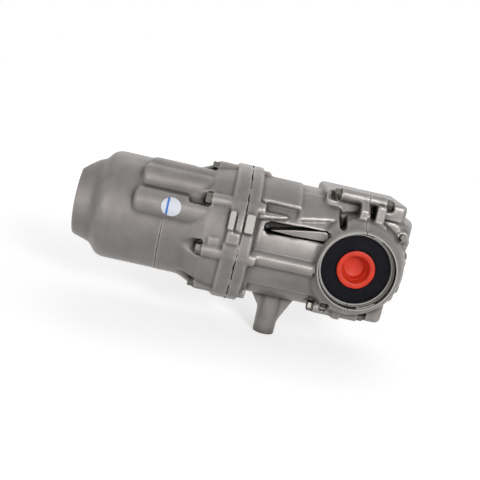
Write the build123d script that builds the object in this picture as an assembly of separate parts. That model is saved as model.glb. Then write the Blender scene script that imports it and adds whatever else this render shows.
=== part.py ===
from build123d import *
import math
import os

os.makedirs("parts", exist_ok=True)

# Rear differential with a hydraulic plate coupling in its front case.
# The origin is the centre of the differential, where the output axis crosses the pinion axis.
# X runs along the pinion axis towards the rear cover, Z is up, and the left output faces -Y.

# Clearances
running_gap = 0.05
seat_gap = 0.02
body_gap = 0.3

# Spiral bevel gear set
ring_teeth = 38
drive_pinion_teeth = 15
ring_pitch_r = 64.0
gear_face = 20.0
spiral_turn = 12.0
tooth_addendum = 0.8
tooth_dedendum = 1.0
tooth_backlash = 0.16
pressure_angle = 20.0
ring_bore_r = 40.0
ring_back_y = 40.0
ring_rim = 1.2

# Bevel gears inside the differential
side_gear_teeth = 14
spider_teeth = 10
side_gear_pitch_r = 24.5
side_gear_face = 9.0
side_gear_back = 23.5
side_hub_r = 17.0
side_hub_end = 40.0
halfshaft_r = 13.5
cross_pin_r = 7.5
thrust_washer_t = 0.8
spider_washer_r = 14.0
roll_pin_r = 2.0
roll_pin_end = 6.0

# Flange-head bolts: the flange's share of the head's height, the hexagon's width to the flange radius
bolt_flange_share = 0.3
ring_bolt_hex_ratio = 1.6

# Differential case
case_inner_r = 33.0
case_left_r = 29.0
case_left_y = -38.0
case_window_w = 30.0
case_window_left = -19.0
case_window_right = 13.0
roll_pin_z = (case_inner_r + ring_bore_r - seat_gap) / 2
trunnion_r = 22.0
trunnion_bore_r = 14.5
trunnion_shoulder = 4.0
case_left_slope = 12.0
case_flange_r = 57.0
case_flange_t = 7.5
ring_bolt_r = 4.0
ring_bolt_head_r = 6.5
ring_bolt_head_h = 5.5
ring_bolt_reach = 13.0
ring_bolt_circle_r = 50.0
ring_bolt_count = 8

# Output side of the housing
output_face_y = 86.0
output_rim_r = 46.6
output_seal_r = 41.0
output_seal_lip_r = 20.0
output_seal_y = 73.0
output_seal_t = 6.0
carrier_bearing_r = 38.0
carrier_bearing_w = 16.0
side_shim_t = 1.5
shoulder_r = 34.0
plug_flange_r = 22.4
plug_flange_t = 3.0
plug_mouth_r = 16.6
plug_floor_r = 11.5
plug_depth = 20.0
plug_wall = 2.2
plug_shank = 17.0
plug_taper_l = 3.5

# Proportions of the rolling bearings
roller_tilt = 12.5
roller_share = 0.25
roller_rib = 2.0
roller_spacing = 1.25
cage_t = 1.2
cage_gap = 0.15
cage_inset = 0.4
ball_land_share = 0.45

# Drive pinion and its bearings
rear_bearing_x = -92.0
rear_bearing_r = 38.0
rear_bearing_w = 20.0
pinion_shaft_r = 18.0
front_bearing_x = -130.0
front_bearing_r = 33.0
front_bearing_w = 17.0
front_journal_r = 15.0
pinion_nut_r = 21.0
pinion_nut_w = 7.0
pinion_spline_r = 12.0
pinion_neck_l = 3.0
pinion_shoulder = 4.0
pinion_taper_l = 6.0
spacer_wall = 4.0
pinion_spline_x = -178.0

# Front case
front_joint_x = -139.0
nose_x = -338.0
nose_r = 46.0
nose_neck_l = 22.0
nose_neck_r = 52.5
shoulder_l = 40.0
shoulder_run = 8.0
nose_facet_z = 38.0
nose_facet_angle = 40.0
barrel_r = 66.5
barrel_wall = 6.5
barrel_seam_x = -231.0
barrel_seam_step = 0.5
coupling_room_x = -306.0
coupling_room_step = 8.0
flare_r = 78.0
flare_l = 23.0
flare_wall = 9.5
main_flange_r = 84.0
main_flange_t = 18.0
carrier_flange_t = 13.0
cast_edge_r = 1.5
joint_edge = 0.6

# Bolts, dowels and lugs of the main flange
case_bolt_r = 4.0
case_bolt_circle_r = 76.0
case_bolt_count = 8
case_bolt_start = 79.0
case_bolt_head_r = 7.4
case_bolt_hex = 12.0
case_bolt_head_h = 8.0
case_boss_r = 8.3
case_boss_x = -180.0
case_boss_back = 20.0
case_boss_recess_l = 26.0
tool_room = 1.5
dowel_r = 4.0
dowel_l = 16.0
front_lug_t = 8.0
rear_lug_t = 11.5
lug_angle = 17.8
lug_w = 23.0
lug_rise = 5.0
lug_root = 12.0
flange_block = (-155.6, -140.0, 0.0, 13.5)
flange_block_rise = 2.5
side_pad = (-175.0, -162.0, -7.0, 2.0)
side_pad_y = -81.0

# Swellings of the front case over its oil passages
swelling_r = 17.0
swelling_centre_r = 60.0
swelling_end_r = 9.0
swelling_angles = (22.5, 53.0, 66.0)
swelling_starts = (-270.0, -266.0, -262.0)

# Gear chamber and its joint at the output axis
chamber_r = 69.0
chamber_wall = 6.0
chamber_gap = 0.5
chamber_slope_y = 14.0
chamber_side_room = 7.0
chamber_left_room = 8.0
chamber_right_room = 5.0
chamber_near_r = 62.0
chamber_near_y = -50.0
output_hub_r = 55.0
output_hub_y = 69.0
output_rim_l = 9.0
drum_left_steps = ((66.0, -34.0), (72.0, -6.0), (chamber_r + chamber_wall, 8.0))
drum_right_y = 58.0
drum_right_step = 8.0
drum_right_r = 65.0
carrier_r = 75.0
rim_groove_out_r = 44.9
rim_tube_r = 42.4
rim_tube_drop = 5.0
rim_groove_depth = 8.0
rim_gutter_depth = 16.0
rim_gutter_start_x = 8.0
carrier_fin_t = 9.0
cover_fin_t = 4.0
cover_fin_inset = 4.0
joint_side_y = 64.0
joint_top_z = 80.0
joint_left_bottom_z = -70.0
joint_right_bottom_z = -78.0
joint_corner = 12.0
top_deck_z = 81.5
top_deck_y = 46.0
top_deck_low_z = 40.0
top_deck_front_x = -50.0
top_deck_back_x = 49.0
top_deck_edge_r = 6.0
joint_pad = (-17.0, 25.0, 49.0, 56.0)
joint_pad_y = 66.0
cover_tab = (9.5, 20.5, 49.0, 77.0)
tab_depth = 24.0

# Long bolts of the rear cover
cover_bolt_r = 4.0
cover_bolt_head_r = 7.0
cover_bolt_hex = 11.0
cover_bolt_head_h = 7.0
cover_boss_r = 7.5
cover_boss_front_x = -34.5
cover_boss_back_x = 21.5
cover_head_room = 13.0
cover_nut_room = 10.0
cover_nut_t = 7.0
cover_bolt_y = 46.0
cover_top_left_z = 79.5
cover_top_right_z = 71.0
cover_bottom_left_z = -61.0
cover_bottom_right_z = -71.0

# Back of the rear cover
cover_back_x = 73.0
cover_plan = ((0.0, -52.0), (44.0, -52.0), (59.0, -42.0), (69.0, -8.0), (73.0, 12.0),
              (73.0, 40.0), (60.0, 56.0), (0.0, 56.0))
cover_low_z = -38.0
cover_high_z = 60.0
cover_edge_r = 7.0
cover_rib_zs = (-24.0, 32.0)
cover_rib_w = 3.5
cover_rib_rise = 1.5
cover_foot = ((4.0, -49.0, -66.0), (51.0, -27.0, -36.0))
cover_foot_edge_r = 7.0
plug_thread_r = 9.0
plug_thread_l = 12.0
plug_head_r = 12.0
plug_head_t = 3.5
plug_socket_r = 6.0
plug_socket_l = 8.0
plug_seat_x = 69.5
plug_y = 4.0
fill_plug_z = 8.0
drain_plug_z = -22.0
vent_plug_x = 49.0
vent_plug_z = 46.0
vent_plug_seat_y = -54.0
vent_plug_boss_r = 6.5
vent_plug_r = 3.0
vent_plug_l = 10.0
vent_plug_flange_r = 3.8
vent_plug_hex = 6.5
vent_plug_head_h = 4.0

# Ribs, panels and pocket of the carrier case
upper_panel_r = 80.5
upper_panel_back_x = -76.0
upper_panel_angles = (42.0, 80.0)
middle_panel_r = 78.5
middle_panel_x = (-78.0, -30.0)
middle_panel_angles = (31.6, 66.0, 39.0)
panel_depth = 14.0
panel_edge_r = 3.0
ledge_r = 79.5
ledge_back_x = -90.0
ledge_angles = (25.0, 33.0, 30.0)
ledge_edge_r = 1.2
shell_back_x = -26.0
shell_end_x = -8.0
shell_end_r = 60.0
shell_round_r = 12.0
wall_step = 8.0
wall_low_z = -46.0
underside_r = 69.5
rib_r = 9.0
rib_z = -11.3
rib_y = -71.5
rib_end_x = -48.0
pocket_z = 26.5
pocket_half_w = 7.0
pocket_front_x = -115.0
pocket_back_x = -37.0
pocket_tilt = 2.6
pocket_floor_y = -47.0
pocket_ramp = ((-104.0, 20.5), (-38.0, 33.0), (-38.0, 24.5))
pocket_ramp_y = -71.0
window_x = -26.0
window_z = 51.0
window_r = 4.0
window_l = 19.0
window_floor_y = -50.0
window_low_x = -22.0
window_low_z = -58.0
case_relief_l = 20.0
case_relief_in_r = 46.0
case_relief_out_r = 60.0

# Round leg under the carrier case
leg_x = -80.3
leg_z = -119.0
leg_r = 13.5
leg_top_r = 15.0
leg_root_z = -50.0
leg_thread_r = 5.1
leg_thread_l = 25.0
gusset_t = 19.0
gusset_edge_r = 4.0
gusset = ((-108.0, -64.0), (-106.0, -70.5), (-95.0, -86.0), (-92.0, -102.0), (-68.0, -106.0),
          (-65.5, -97.0), (-47.0, -58.0), (-42.0, -50.0), (-108.0, -50.0))

# Coupling
input_x = -337.0
input_bore_l = 33.0
input_journal_r = 17.5
input_collar_r = 20.0
input_bearing_x = -328.0
input_bearing_r = 31.0
input_bearing_w = 14.0
bearing_shoulder = 5.0
input_ball_r = 4.2
input_ball_count = 10
input_seal_r = 28.0
input_seal_t = 8.0
input_end_l = 6.0
drum_x = -302.0
drum_r = 54.0
drum_wall = 4.5
drum_web = 6.0
drum_l = 66.0
drum_edge_r = 4.0
drum_key_w = 8.0
drum_key_depth = 2.0
plate_t = 2.0
plate_pairs = 6
plate_keys = 12
plate_start_x = -282.0
disc_outer_r = 46.0
hub_r = 32.0
hub_wall = 5.0
hub_x = -288.0
hub_l = 44.0
hub_socket_x = -157.0
hub_key_w = 7.0
hub_key_depth = 2.0
hub_shaft_r = 14.0
pilot_r = 10.0
pilot_l = 9.0
pump_x = -224.0
pump_r = 58.0
pump_recess_l = 20.0
pump_recess_gap = 3.0
piston_inner_r = 24.0
piston_outer_r = 46.0
piston_l = 27.0
piston_depth = 12.0


def x_turned(points, rounds=()):
    """Solid turned about the pinion axis from (x, radius) points."""
    face = make_face(Polyline(*points, close=True))
    for x, r, size in rounds:
        face = fillet(face.vertices().sort_by_distance((x, r, 0))[0], size)
    return revolve(face, Axis.X, 360)


def y_turned(points, rounds=()):
    """Solid turned about the output axis from (radius, y) points."""
    face = make_face(Polyline(*points, close=True))
    for r, y, size in rounds:
        face = fillet(face.vertices().sort_by_distance((r, y, 0))[0], size)
    return revolve(face, Axis.Y, 360)


def x_rod(x0, x1, r, y=0.0, z=0.0):
    """Round bar along the pinion axis."""
    return Pos((x0 + x1) / 2, y, z) * Rot(0, 90, 0) * Cylinder(r, abs(x1 - x0))


def y_rod(y0, y1, r, x=0.0, z=0.0):
    """Round bar along the output axis."""
    return Pos(x, (y0 + y1) / 2, z) * Rot(90, 0, 0) * Cylinder(r, abs(y1 - y0))


def z_rod(z0, z1, r, x=0.0, y=0.0):
    """Round upright bar."""
    return Pos(x, y, (z0 + z1) / 2) * Cylinder(r, abs(z1 - z0))


def block(low, high):
    """Box between two corners."""
    size = [b - a for a, b in zip(low, high)]
    middle = [(a + b) / 2 for a, b in zip(low, high)]
    return Pos(*middle) * Box(*size)


def around_x(angle, r):
    """Point on a circle about the pinion axis, the angle counted upwards from the left side."""
    turn = math.radians(angle)
    return -r * math.cos(turn), r * math.sin(turn)


def group(pieces):
    """Separate solids that share one node."""
    return Compound(children=[s for piece in pieces for s in piece.solids()])


def single(shape):
    """The one solid of a finished piece."""
    return shape.solids()[0]


# Bevel gears. A tooth is a ruled loft of sections that lie in the back cone's tangent plane.

X, Y, Z = Vector(1, 0, 0), Vector(0, 1, 0), Vector(0, 0, 1)


def cone_point(distance, height, cone):
    """Radius and axial place of a point at a cone distance and a height over the pitch cone."""
    radius = distance * math.sin(cone) + height * math.cos(cone)
    along = distance * math.cos(cone) - height * math.sin(cone)
    return radius, along


def half_width(teeth, module, height, thickness):
    """Half the width of an involute tooth at a height over its pitch line."""
    pressure = math.radians(pressure_angle)
    pitch_r = teeth * module / 2
    base_r = pitch_r * math.cos(pressure)
    r = max(pitch_r + height, base_r)
    here = math.acos(base_r / r)
    spread = math.tan(pressure) - pressure - math.tan(here) + here
    return r * math.sin(thickness / 2 / pitch_r + spread)


def bevel_tooth(teeth, cone, axes, outer, face, turn, start, backlash, spans):
    """One tooth: axes are the gear's axis, its radial and its tangent direction at angle nought."""
    axis, radial, tangent = axes
    module = 2 * outer * math.sin(cone) / teeth
    sections = []
    for i in range(spans + 1):
        distance = outer - face * (1 - i / spans)
        m = module * distance / outer
        angle = start + turn * ((distance - outer) / face + 0.5)
        out = radial * math.cos(angle) + tangent * math.sin(angle)
        side = tangent * math.cos(angle) - radial * math.sin(angle)
        along = out * math.sin(cone) + axis * math.cos(cone)
        up = out * math.cos(cone) - axis * math.sin(cone)
        depth = tooth_dedendum * m
        left, right = [], []
        for height, sink in ((-depth, 0.2 * m), (-depth * 0.45, 0), (0, 0), (tooth_addendum * m, 0)):
            w = half_width(teeth / math.cos(cone), m, height, math.pi * m / 2 - backlash)
            foot = along * distance + up * (height - sink)
            left.append(foot - side * w)
            right.insert(0, foot + side * w)
        sections.append(Wire.make_polygon(left + right, close=True))
    return Solid.make_loft(sections, ruled=True)


ring_cone = math.atan(ring_teeth / drive_pinion_teeth)
drive_cone = math.pi / 2 - ring_cone
gear_outer = ring_pitch_r / math.sin(ring_cone)
gear_inner = gear_outer - gear_face
gear_module = 2 * ring_pitch_r / ring_teeth

side_cone = math.atan(side_gear_teeth / spider_teeth)
spider_cone = math.pi / 2 - side_cone
small_outer = side_gear_pitch_r / math.sin(side_cone)
small_inner = small_outer - side_gear_face
small_module = 2 * side_gear_pitch_r / side_gear_teeth


def root_points(cone, outer, inner, module):
    """Root line of a bevel gear at its outer and inner end."""
    depth = tooth_dedendum * module
    return cone_point(outer, -depth, cone), cone_point(inner, -depth * inner / outer, cone)


def ring_gear():
    """Spiral bevel ring gear with tapped holes in its back."""
    (r_out, y_out), (r_in, y_in) = root_points(ring_cone, gear_outer, gear_inner, gear_module)
    rim_r = ring_pitch_r + ring_rim
    blank = y_turned([(ring_bore_r, ring_back_y), (rim_r, ring_back_y), (rim_r, y_out + ring_rim),
                      (r_out, y_out), (r_in, y_in), (ring_bore_r, y_in + ring_rim)])
    tooth = bevel_tooth(ring_teeth, ring_cone, (Y, -X, Z), gear_outer, gear_face,
                        math.radians(spiral_turn), 0, tooth_backlash, 3)
    teeth = [tooth.rotate(Axis.Y, 360 / ring_teeth * i) for i in range(ring_teeth)]
    gear = blank.fuse(*teeth)
    for i in range(ring_bolt_count):
        z, x = around_x(360 / ring_bolt_count * i, ring_bolt_circle_r)
        gear = gear - y_rod(ring_back_y - ring_bolt_reach, ring_back_y, ring_bolt_r, x, z)
    return single(gear)


def drive_pinion():
    """Spiral bevel pinion in one piece with its stepped shaft."""
    (r_out, x_out), (r_in, x_in) = root_points(drive_cone, gear_outer, gear_inner, gear_module)
    head_x = rear_bearing_x + rear_bearing_w
    nut_x = front_bearing_x - pinion_nut_w
    blank = x_turned([(-x_in, 0), (-x_in, r_in), (-x_out, r_out), (-x_out - pinion_neck_l, r_out),
                      (head_x, pinion_shaft_r + pinion_shoulder), (head_x, pinion_shaft_r),
                      (rear_bearing_x, pinion_shaft_r), (rear_bearing_x - pinion_taper_l, front_journal_r),
                      (nut_x, front_journal_r), (nut_x - 2.0, pinion_spline_r),
                      (pinion_spline_x, pinion_spline_r), (pinion_spline_x, 0)])
    turn = math.radians(spiral_turn) * ring_teeth / drive_pinion_teeth
    tooth = bevel_tooth(drive_pinion_teeth, drive_cone, (-X, Y, Z), gear_outer, gear_face,
                        turn, math.pi / drive_pinion_teeth, tooth_backlash, 3)
    teeth = [tooth.rotate(Axis.X, 360 / drive_pinion_teeth * i) for i in range(drive_pinion_teeth)]
    return single(blank.fuse(*teeth))


def side_gear(side):
    """Straight bevel side gear with its hub and halfshaft bore, on the side -1 or 1."""
    (r_out, y_out), (r_in, y_in) = root_points(side_cone, small_outer, small_inner, small_module)
    points = [(halfshaft_r, y_in), (r_in, y_in), (r_out, y_out), (r_out, side_gear_back),
              (side_hub_r, side_gear_back), (side_hub_r, side_hub_end), (halfshaft_r, side_hub_end)]
    blank = y_turned([(r, side * y) for r, y in points])
    tooth = bevel_tooth(side_gear_teeth, side_cone, (Y * side, Z, X * side), small_outer,
                        side_gear_face, 0, 0, tooth_backlash, 1)
    teeth = [tooth.rotate(Axis.Y, 360 / side_gear_teeth * i) for i in range(side_gear_teeth)]
    return single(blank.fuse(*teeth))


def spider_gear(side):
    """Straight bevel spider gear with a round back, above or below the centre."""
    (r_out, z_out), (r_in, z_in) = root_points(spider_cone, small_outer, small_inner, small_module)
    back_r = case_inner_r - thrust_washer_t - 2 * running_gap
    bore_r = cross_pin_r + running_gap
    face = make_face(Polyline((bore_r, z_in), (r_in, z_in), (r_out, z_out), (r_out, back_r),
                              (bore_r, back_r), close=True))
    blank = revolve(Rot(90, 0, 0) * face, Axis.Z, 360) & Sphere(back_r)
    tooth = bevel_tooth(spider_teeth, spider_cone, (Z, Y, -X), small_outer, side_gear_face,
                        0, math.pi / spider_teeth, tooth_backlash, 1)
    teeth = [tooth.rotate(Axis.Z, 360 / spider_teeth * i) for i in range(spider_teeth)]
    gear = blank.fuse(*teeth)
    return single(gear if side > 0 else Rot(180, 0, 0) * gear)


def spider_washer(side):
    """Thin dished washer between a spider gear and the case."""
    shell = Sphere(case_inner_r - running_gap) - Sphere(case_inner_r - thrust_washer_t - running_gap)
    reach = side * case_inner_r
    return shell & (z_rod(0, reach, spider_washer_r) - z_rod(0, reach, cross_pin_r + body_gap))


def side_washer(side):
    """Flat thrust washer between a side gear and the case."""
    y0 = side * (side_gear_back + running_gap)
    y1 = side * (side_gear_back + running_gap + thrust_washer_t)
    outer_r = math.sqrt(case_inner_r ** 2 - y1 ** 2) - body_gap
    return y_rod(y0, y1, outer_r) - y_rod(y0, y1, side_hub_r + body_gap)


def differential_case():
    """One-piece case with two windows, trunnions and a flange for the ring gear."""
    flange_y = ring_back_y + case_flange_t
    body_r = ring_bore_r - seat_gap
    left_face = -flange_y
    left_end, right_end = left_face - carrier_bearing_w, flange_y + carrier_bearing_w
    body = y_turned([(trunnion_bore_r, left_end), (trunnion_r, left_end), (trunnion_r, left_face),
                     (trunnion_r + trunnion_shoulder, left_face), (case_left_r, case_left_y),
                     (body_r, case_left_y + case_left_slope), (body_r, ring_back_y),
                     (case_flange_r, ring_back_y), (case_flange_r, flange_y), (trunnion_r, flange_y),
                     (trunnion_r, right_end), (trunnion_bore_r, right_end)])
    flat = side_gear_back + 2 * running_gap + thrust_washer_t
    hollow = Sphere(case_inner_r) & y_rod(-flat, flat, case_inner_r + 1)
    body = body - hollow - y_rod(-side_hub_end - 1, side_hub_end + 1, side_hub_r + running_gap)
    reach, half_w = body_r + 2, case_window_w / 2
    body = body - block((-reach, case_window_left, -half_w), (reach, case_window_right, half_w))
    body = body - z_rod(-reach, reach, cross_pin_r + seat_gap)
    body = body - x_rod(-reach, reach, roll_pin_r + seat_gap, z=roll_pin_z)
    for i in range(ring_bolt_count):
        z, x = around_x(360 / ring_bolt_count * i, ring_bolt_circle_r)
        body = body - y_rod(ring_back_y, flange_y, ring_bolt_r + body_gap, x, z)
    return single(body)


def cross_pin():
    """Pin that carries both spider gears."""
    pin = z_rod(-ring_bore_r + 1, ring_bore_r - 1, cross_pin_r)
    return single(pin - x_rod(-cross_pin_r, cross_pin_r, roll_pin_r + seat_gap, z=roll_pin_z))


def cross_pin_roll_pin():
    """Small pin that keeps the cross pin in the case."""
    return single(x_rod(-cross_pin_r - roll_pin_end, cross_pin_r + roll_pin_end, roll_pin_r, z=roll_pin_z))


def hex_bolt(shank_r, shank_l, head_r, hex_w, head_h):
    """Flange-head bolt that points down, its seat at the origin."""
    flange_h = head_h * bolt_flange_share
    bolt = Pos(0, 0, -shank_l / 2) * Cylinder(shank_r, shank_l)
    bolt = bolt + Pos(0, 0, flange_h / 2) * Cylinder(head_r, flange_h)
    head = extrude(RegularPolygon(hex_w / 2, 6, major_radius=False), head_h - flange_h)
    return bolt + Pos(0, 0, flange_h) * head


def ring_gear_bolts():
    """Bolts through the case flange into the ring gear's back."""
    flange_y = ring_back_y + case_flange_t
    bolt = hex_bolt(ring_bolt_r - seat_gap, case_flange_t + ring_bolt_reach - 1.0, ring_bolt_head_r,
                    ring_bolt_head_r * ring_bolt_hex_ratio, ring_bolt_head_h)
    bolts = []
    for i in range(ring_bolt_count):
        z, x = around_x(360 / ring_bolt_count * i, ring_bolt_circle_r)
        bolts.append(Pos(x, flange_y, z) * Rot(-90, 0, 0) * bolt)
    return group(bolts)


# Rolling bearings

def tapered_bearing(outer_r, inner_r, width):
    """Cup, cone, rollers and cage along Z from nought to the width, with the large end on top."""
    tilt = math.radians(roller_tilt)
    middle_r = (outer_r + inner_r) / 2
    reach = middle_r / math.sin(tilt)
    roller_r = roller_share * (outer_r - inner_r)
    half = math.atan(roller_r / reach)
    apex = width / 2 - middle_r / math.tan(tilt)

    def race_r(z, sign):
        return (z - apex) * math.tan(tilt + sign * half) + sign * running_gap

    def lathe(points):
        return revolve(Rot(90, 0, 0) * make_face(Polyline(*points, close=True)), Axis.Z, 360)

    rib = roller_rib
    cup = lathe([(outer_r, 0), (outer_r, width), (race_r(width, 1), width), (race_r(0, 1), 0)])
    cone = lathe([(inner_r, 0), (inner_r, width), (race_r(width, -1) + rib, width),
                  (race_r(width - rib, -1) + rib, width - rib), (race_r(width - rib, -1), width - rib),
                  (race_r(0, -1), 0)])
    length = (width - 3 * rib) / math.cos(tilt)
    count = int(math.pi * middle_r / (roller_r * roller_spacing))
    way = Vector(math.sin(tilt), 0, math.cos(tilt))
    far = reach - rib / 2
    centre = Vector(0, 0, apex) + way * far
    low = (far - length / 2) * math.tan(half)
    high = (far + length / 2) * math.tan(half)
    place = Plane(origin=centre, z_dir=way)
    roller = place * Cone(low, high, length)
    pocket = place * Cone(low + cage_gap, high + cage_gap, length + 2 * cage_gap)
    rollers = group([roller.rotate(Axis.Z, 360 / count * i) for i in range(count)])
    start_r, end_r = (cage_inset - apex) * math.tan(tilt), (width - cage_inset - apex) * math.tan(tilt)
    wall = cage_t / 2
    cage = lathe([(start_r - wall, cage_inset), (start_r + wall, cage_inset),
                  (end_r + wall, width - cage_inset), (end_r - wall, width - cage_inset)])
    cage = cage.cut(*[pocket.rotate(Axis.Z, 360 / count * i) for i in range(count)])
    return single(cup), single(cone), rollers, single(cage)


def ball_bearing():
    """Deep groove bearing of the input shaft: outer race, inner race and balls."""
    middle_r = (input_bearing_r + input_journal_r) / 2
    groove = input_ball_r + running_gap
    x0, x1 = input_bearing_x, input_bearing_x + input_bearing_w
    ring = Pos((x0 + x1) / 2, 0, 0) * Rot(0, 90, 0) * Torus(middle_r, groove)
    land = ball_land_share * input_ball_r
    outer = x_rod(x0, x1, input_bearing_r) - x_rod(x0, x1, middle_r + land) - ring
    inner = x_rod(x0, x1, middle_r - land) - x_rod(x0, x1, input_journal_r + seat_gap) - ring
    balls = []
    for i in range(input_ball_count):
        y, z = around_x(360 / input_ball_count * i, middle_r)
        balls.append(Pos((x0 + x1) / 2, y, z) * Sphere(input_ball_r))
    return single(outer), single(inner), group(balls)


def output_seal(side):
    """Rubber-faced lip seal of one output."""
    y0 = side * (output_seal_y - output_seal_t)
    y1 = side * output_seal_y
    return single(y_rod(y0, y1, output_seal_r) - y_rod(y0, y1, output_seal_lip_r))


def side_shim(side):
    """Shim between a carrier bearing cup and the housing shoulder."""
    y0 = side * (ring_back_y + case_flange_t + carrier_bearing_w)
    y1 = y0 + side * side_shim_t
    return single(y_rod(y0, y1, carrier_bearing_r - body_gap) - y_rod(y0, y1, shoulder_r))


def transport_plug(side):
    """Cup-shaped plastic plug that closes one output for transport."""
    shank_r = output_seal_lip_r - body_gap
    y0 = output_seal_y
    y1 = output_seal_y + plug_flange_t
    floor_r = plug_floor_r + plug_wall
    end_y, floor_y = y0 - plug_shank, y1 - plug_depth + plug_wall
    taper_y = y0 - output_seal_t
    cup = [(0, end_y), (floor_r, end_y), (floor_r, taper_y - plug_taper_l), (shank_r, taper_y),
           (shank_r, y0), (plug_flange_r, y0), (plug_flange_r, y1), (0, y1)]
    recess = [(0, floor_y), (plug_floor_r, floor_y), (plug_mouth_r, y1 + 1), (0, y1 + 1)]
    cup, recess = (y_turned([(r, side * y) for r, y in points]) for points in (cup, recess))
    return single(cup - recess)


# Housing

def bolt_places():
    """Places of the bolts that join the front case to the carrier."""
    step = 360 / case_bolt_count
    return [around_x(case_bolt_start - step * i, case_bolt_circle_r) for i in range(case_bolt_count)]


def dowel_places():
    """Places of the two dowels of the main flange, halfway between bolts."""
    half = 180 / case_bolt_count
    return [around_x(case_bolt_start + half + turn, case_bolt_circle_r) for turn in (0, 180)]


def swelling(angle, x0, x1):
    """Long swelling on the front case, blunt and rounded at its front end."""
    y, z = around_x(angle, swelling_centre_r)
    rod = x_rod(x0, x1, swelling_r, y, z)
    return fillet(rod.edges().sort_by(Axis.X)[0], swelling_end_r)


def sector(x, low, high, r):
    """Flat slice about the pinion axis between two angles."""
    (ya, za), (yb, zb) = around_x(low, 2 * r), around_x(high, 2 * r)
    return Pos(x, 0, 0) * (Plane.YZ * make_face(Polyline((0, 0), (ya, za), (yb, zb), close=True)))


def panel(x0, x1, low, high, r, edge_r, low_end=None):
    """Raised panel about the pinion axis; its lower edge may run to another angle at its end."""
    ends = [sector(x0, low, high, r), sector(x1, low if low_end is None else low_end, high, r)]
    plate = loft(ends, ruled=True) & (x_rod(x0, x1, r) - x_rod(x0, x1, r - panel_depth))
    outer = plate.faces().sort_by(lambda face: math.hypot(face.center().Y, face.center().Z))[-1]
    return fillet(outer.edges(), edge_r)


def bar(low, high, size):
    """Rounded block between two corners."""
    return fillet(block(low, high).edges(), size)


def lug(x0, x1):
    """Square lug on the rim of the main flange, with its end machined flat."""
    low = (x0, -main_flange_r - lug_rise, -lug_w / 2)
    high = (x1, -main_flange_r + lug_root, lug_w / 2)
    return bar(low, high, cast_edge_r).rotate(Axis.X, -lug_angle)


def nose_facet():
    """Room above the slanted facet on top of the nose."""
    reach = 2 * barrel_r
    above = Pos(reach / 4, 0, reach / 2) * Box(reach, 2 * reach, reach)
    return Pos(nose_x, 0, nose_facet_z) * Rot(0, -nose_facet_angle, 0) * above


def front_case_form():
    """Outer form of the front case, turned about the pinion axis."""
    flange_x = front_joint_x - main_flange_t
    neck_x = nose_x + nose_neck_l
    shoulder_x = nose_x + shoulder_l
    flare_x = case_boss_x - flare_l
    seam_r = barrel_r + barrel_seam_step
    points = [(nose_x, 0), (nose_x, nose_r), (neck_x, nose_neck_r), (shoulder_x - shoulder_run, barrel_r - 2),
              (shoulder_x, barrel_r), (barrel_seam_x, barrel_r), (barrel_seam_x, seam_r), (flare_x, seam_r),
              (case_boss_x, flare_r), (flange_x, flare_r + 3), (flange_x, main_flange_r),
              (front_joint_x - joint_edge, main_flange_r), (front_joint_x, main_flange_r - joint_edge),
              (front_joint_x, 0)]
    rounds = [(nose_x, nose_r, 2), (neck_x, nose_neck_r, 12), (shoulder_x - shoulder_run, barrel_r - 2, 12),
              (flare_x, seam_r, 25), (case_boss_x, flare_r, 20), (flange_x, main_flange_r, cast_edge_r)]
    return x_turned(points, rounds)


def front_case():
    """Cast coupling housing with its nose, barrel and bolted flange."""
    flange_x = front_joint_x - main_flange_t
    body = front_case_form() - nose_facet()
    for angle, start in zip(swelling_angles, swelling_starts):
        body = body + swelling(angle, start, flange_x)
    for y, z in bolt_places():
        body = body - x_rod(case_boss_x - case_boss_recess_l, case_boss_x, case_boss_r + tool_room, y, z)
        body = body + x_rod(case_boss_x, front_joint_x, case_boss_r, y, z)
    body = body + lug(flange_x, flange_x + front_lug_t)
    x0, x1, z0, z1 = flange_block
    block_y = -main_flange_r - flange_block_rise
    body = body + bar((x0, block_y, z0), (x1, -main_flange_r + lug_root, z1), cast_edge_r)
    x0, x1, z0, z1 = side_pad
    body = body + bar((x0, side_pad_y, z0), (x1, -barrel_r, z1), cast_edge_r)
    inner_r = barrel_r - barrel_wall
    wide_r = flare_r - flare_wall
    room_x = coupling_room_x + coupling_room_step
    room = [(coupling_room_x, 0), (coupling_room_x, inner_r - coupling_room_step), (room_x, inner_r),
            (case_boss_x - flare_l, inner_r), (case_boss_x, wide_r), (front_joint_x, wide_r),
            (front_joint_x, 0)]
    body = body - x_turned(room)
    body = body - x_rod(nose_x, input_seal_back(), input_seal_r + seat_gap)
    body = body - x_rod(nose_x, coupling_room_x, input_bearing_r - bearing_shoulder)
    body = body - x_rod(input_bearing_x, coupling_room_x, input_bearing_r + seat_gap)
    for y, z in bolt_places():
        body = body - x_rod(case_boss_x, front_joint_x, case_bolt_r + body_gap, y, z)
    for y, z in dowel_places():
        body = body - x_rod(front_joint_x - dowel_l / 2, front_joint_x, dowel_r + seat_gap, y, z)
    return single(body)


def input_seal_back():
    """Where the input seal ends inside the nose."""
    return nose_x + 1 + input_seal_t


def input_seal():
    """Lip seal of the input in the nose."""
    x0, x1 = nose_x + 1, input_seal_back()
    return single(x_rod(x0, x1, input_seal_r) - x_rod(x0, x1, input_journal_r + body_gap))


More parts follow.
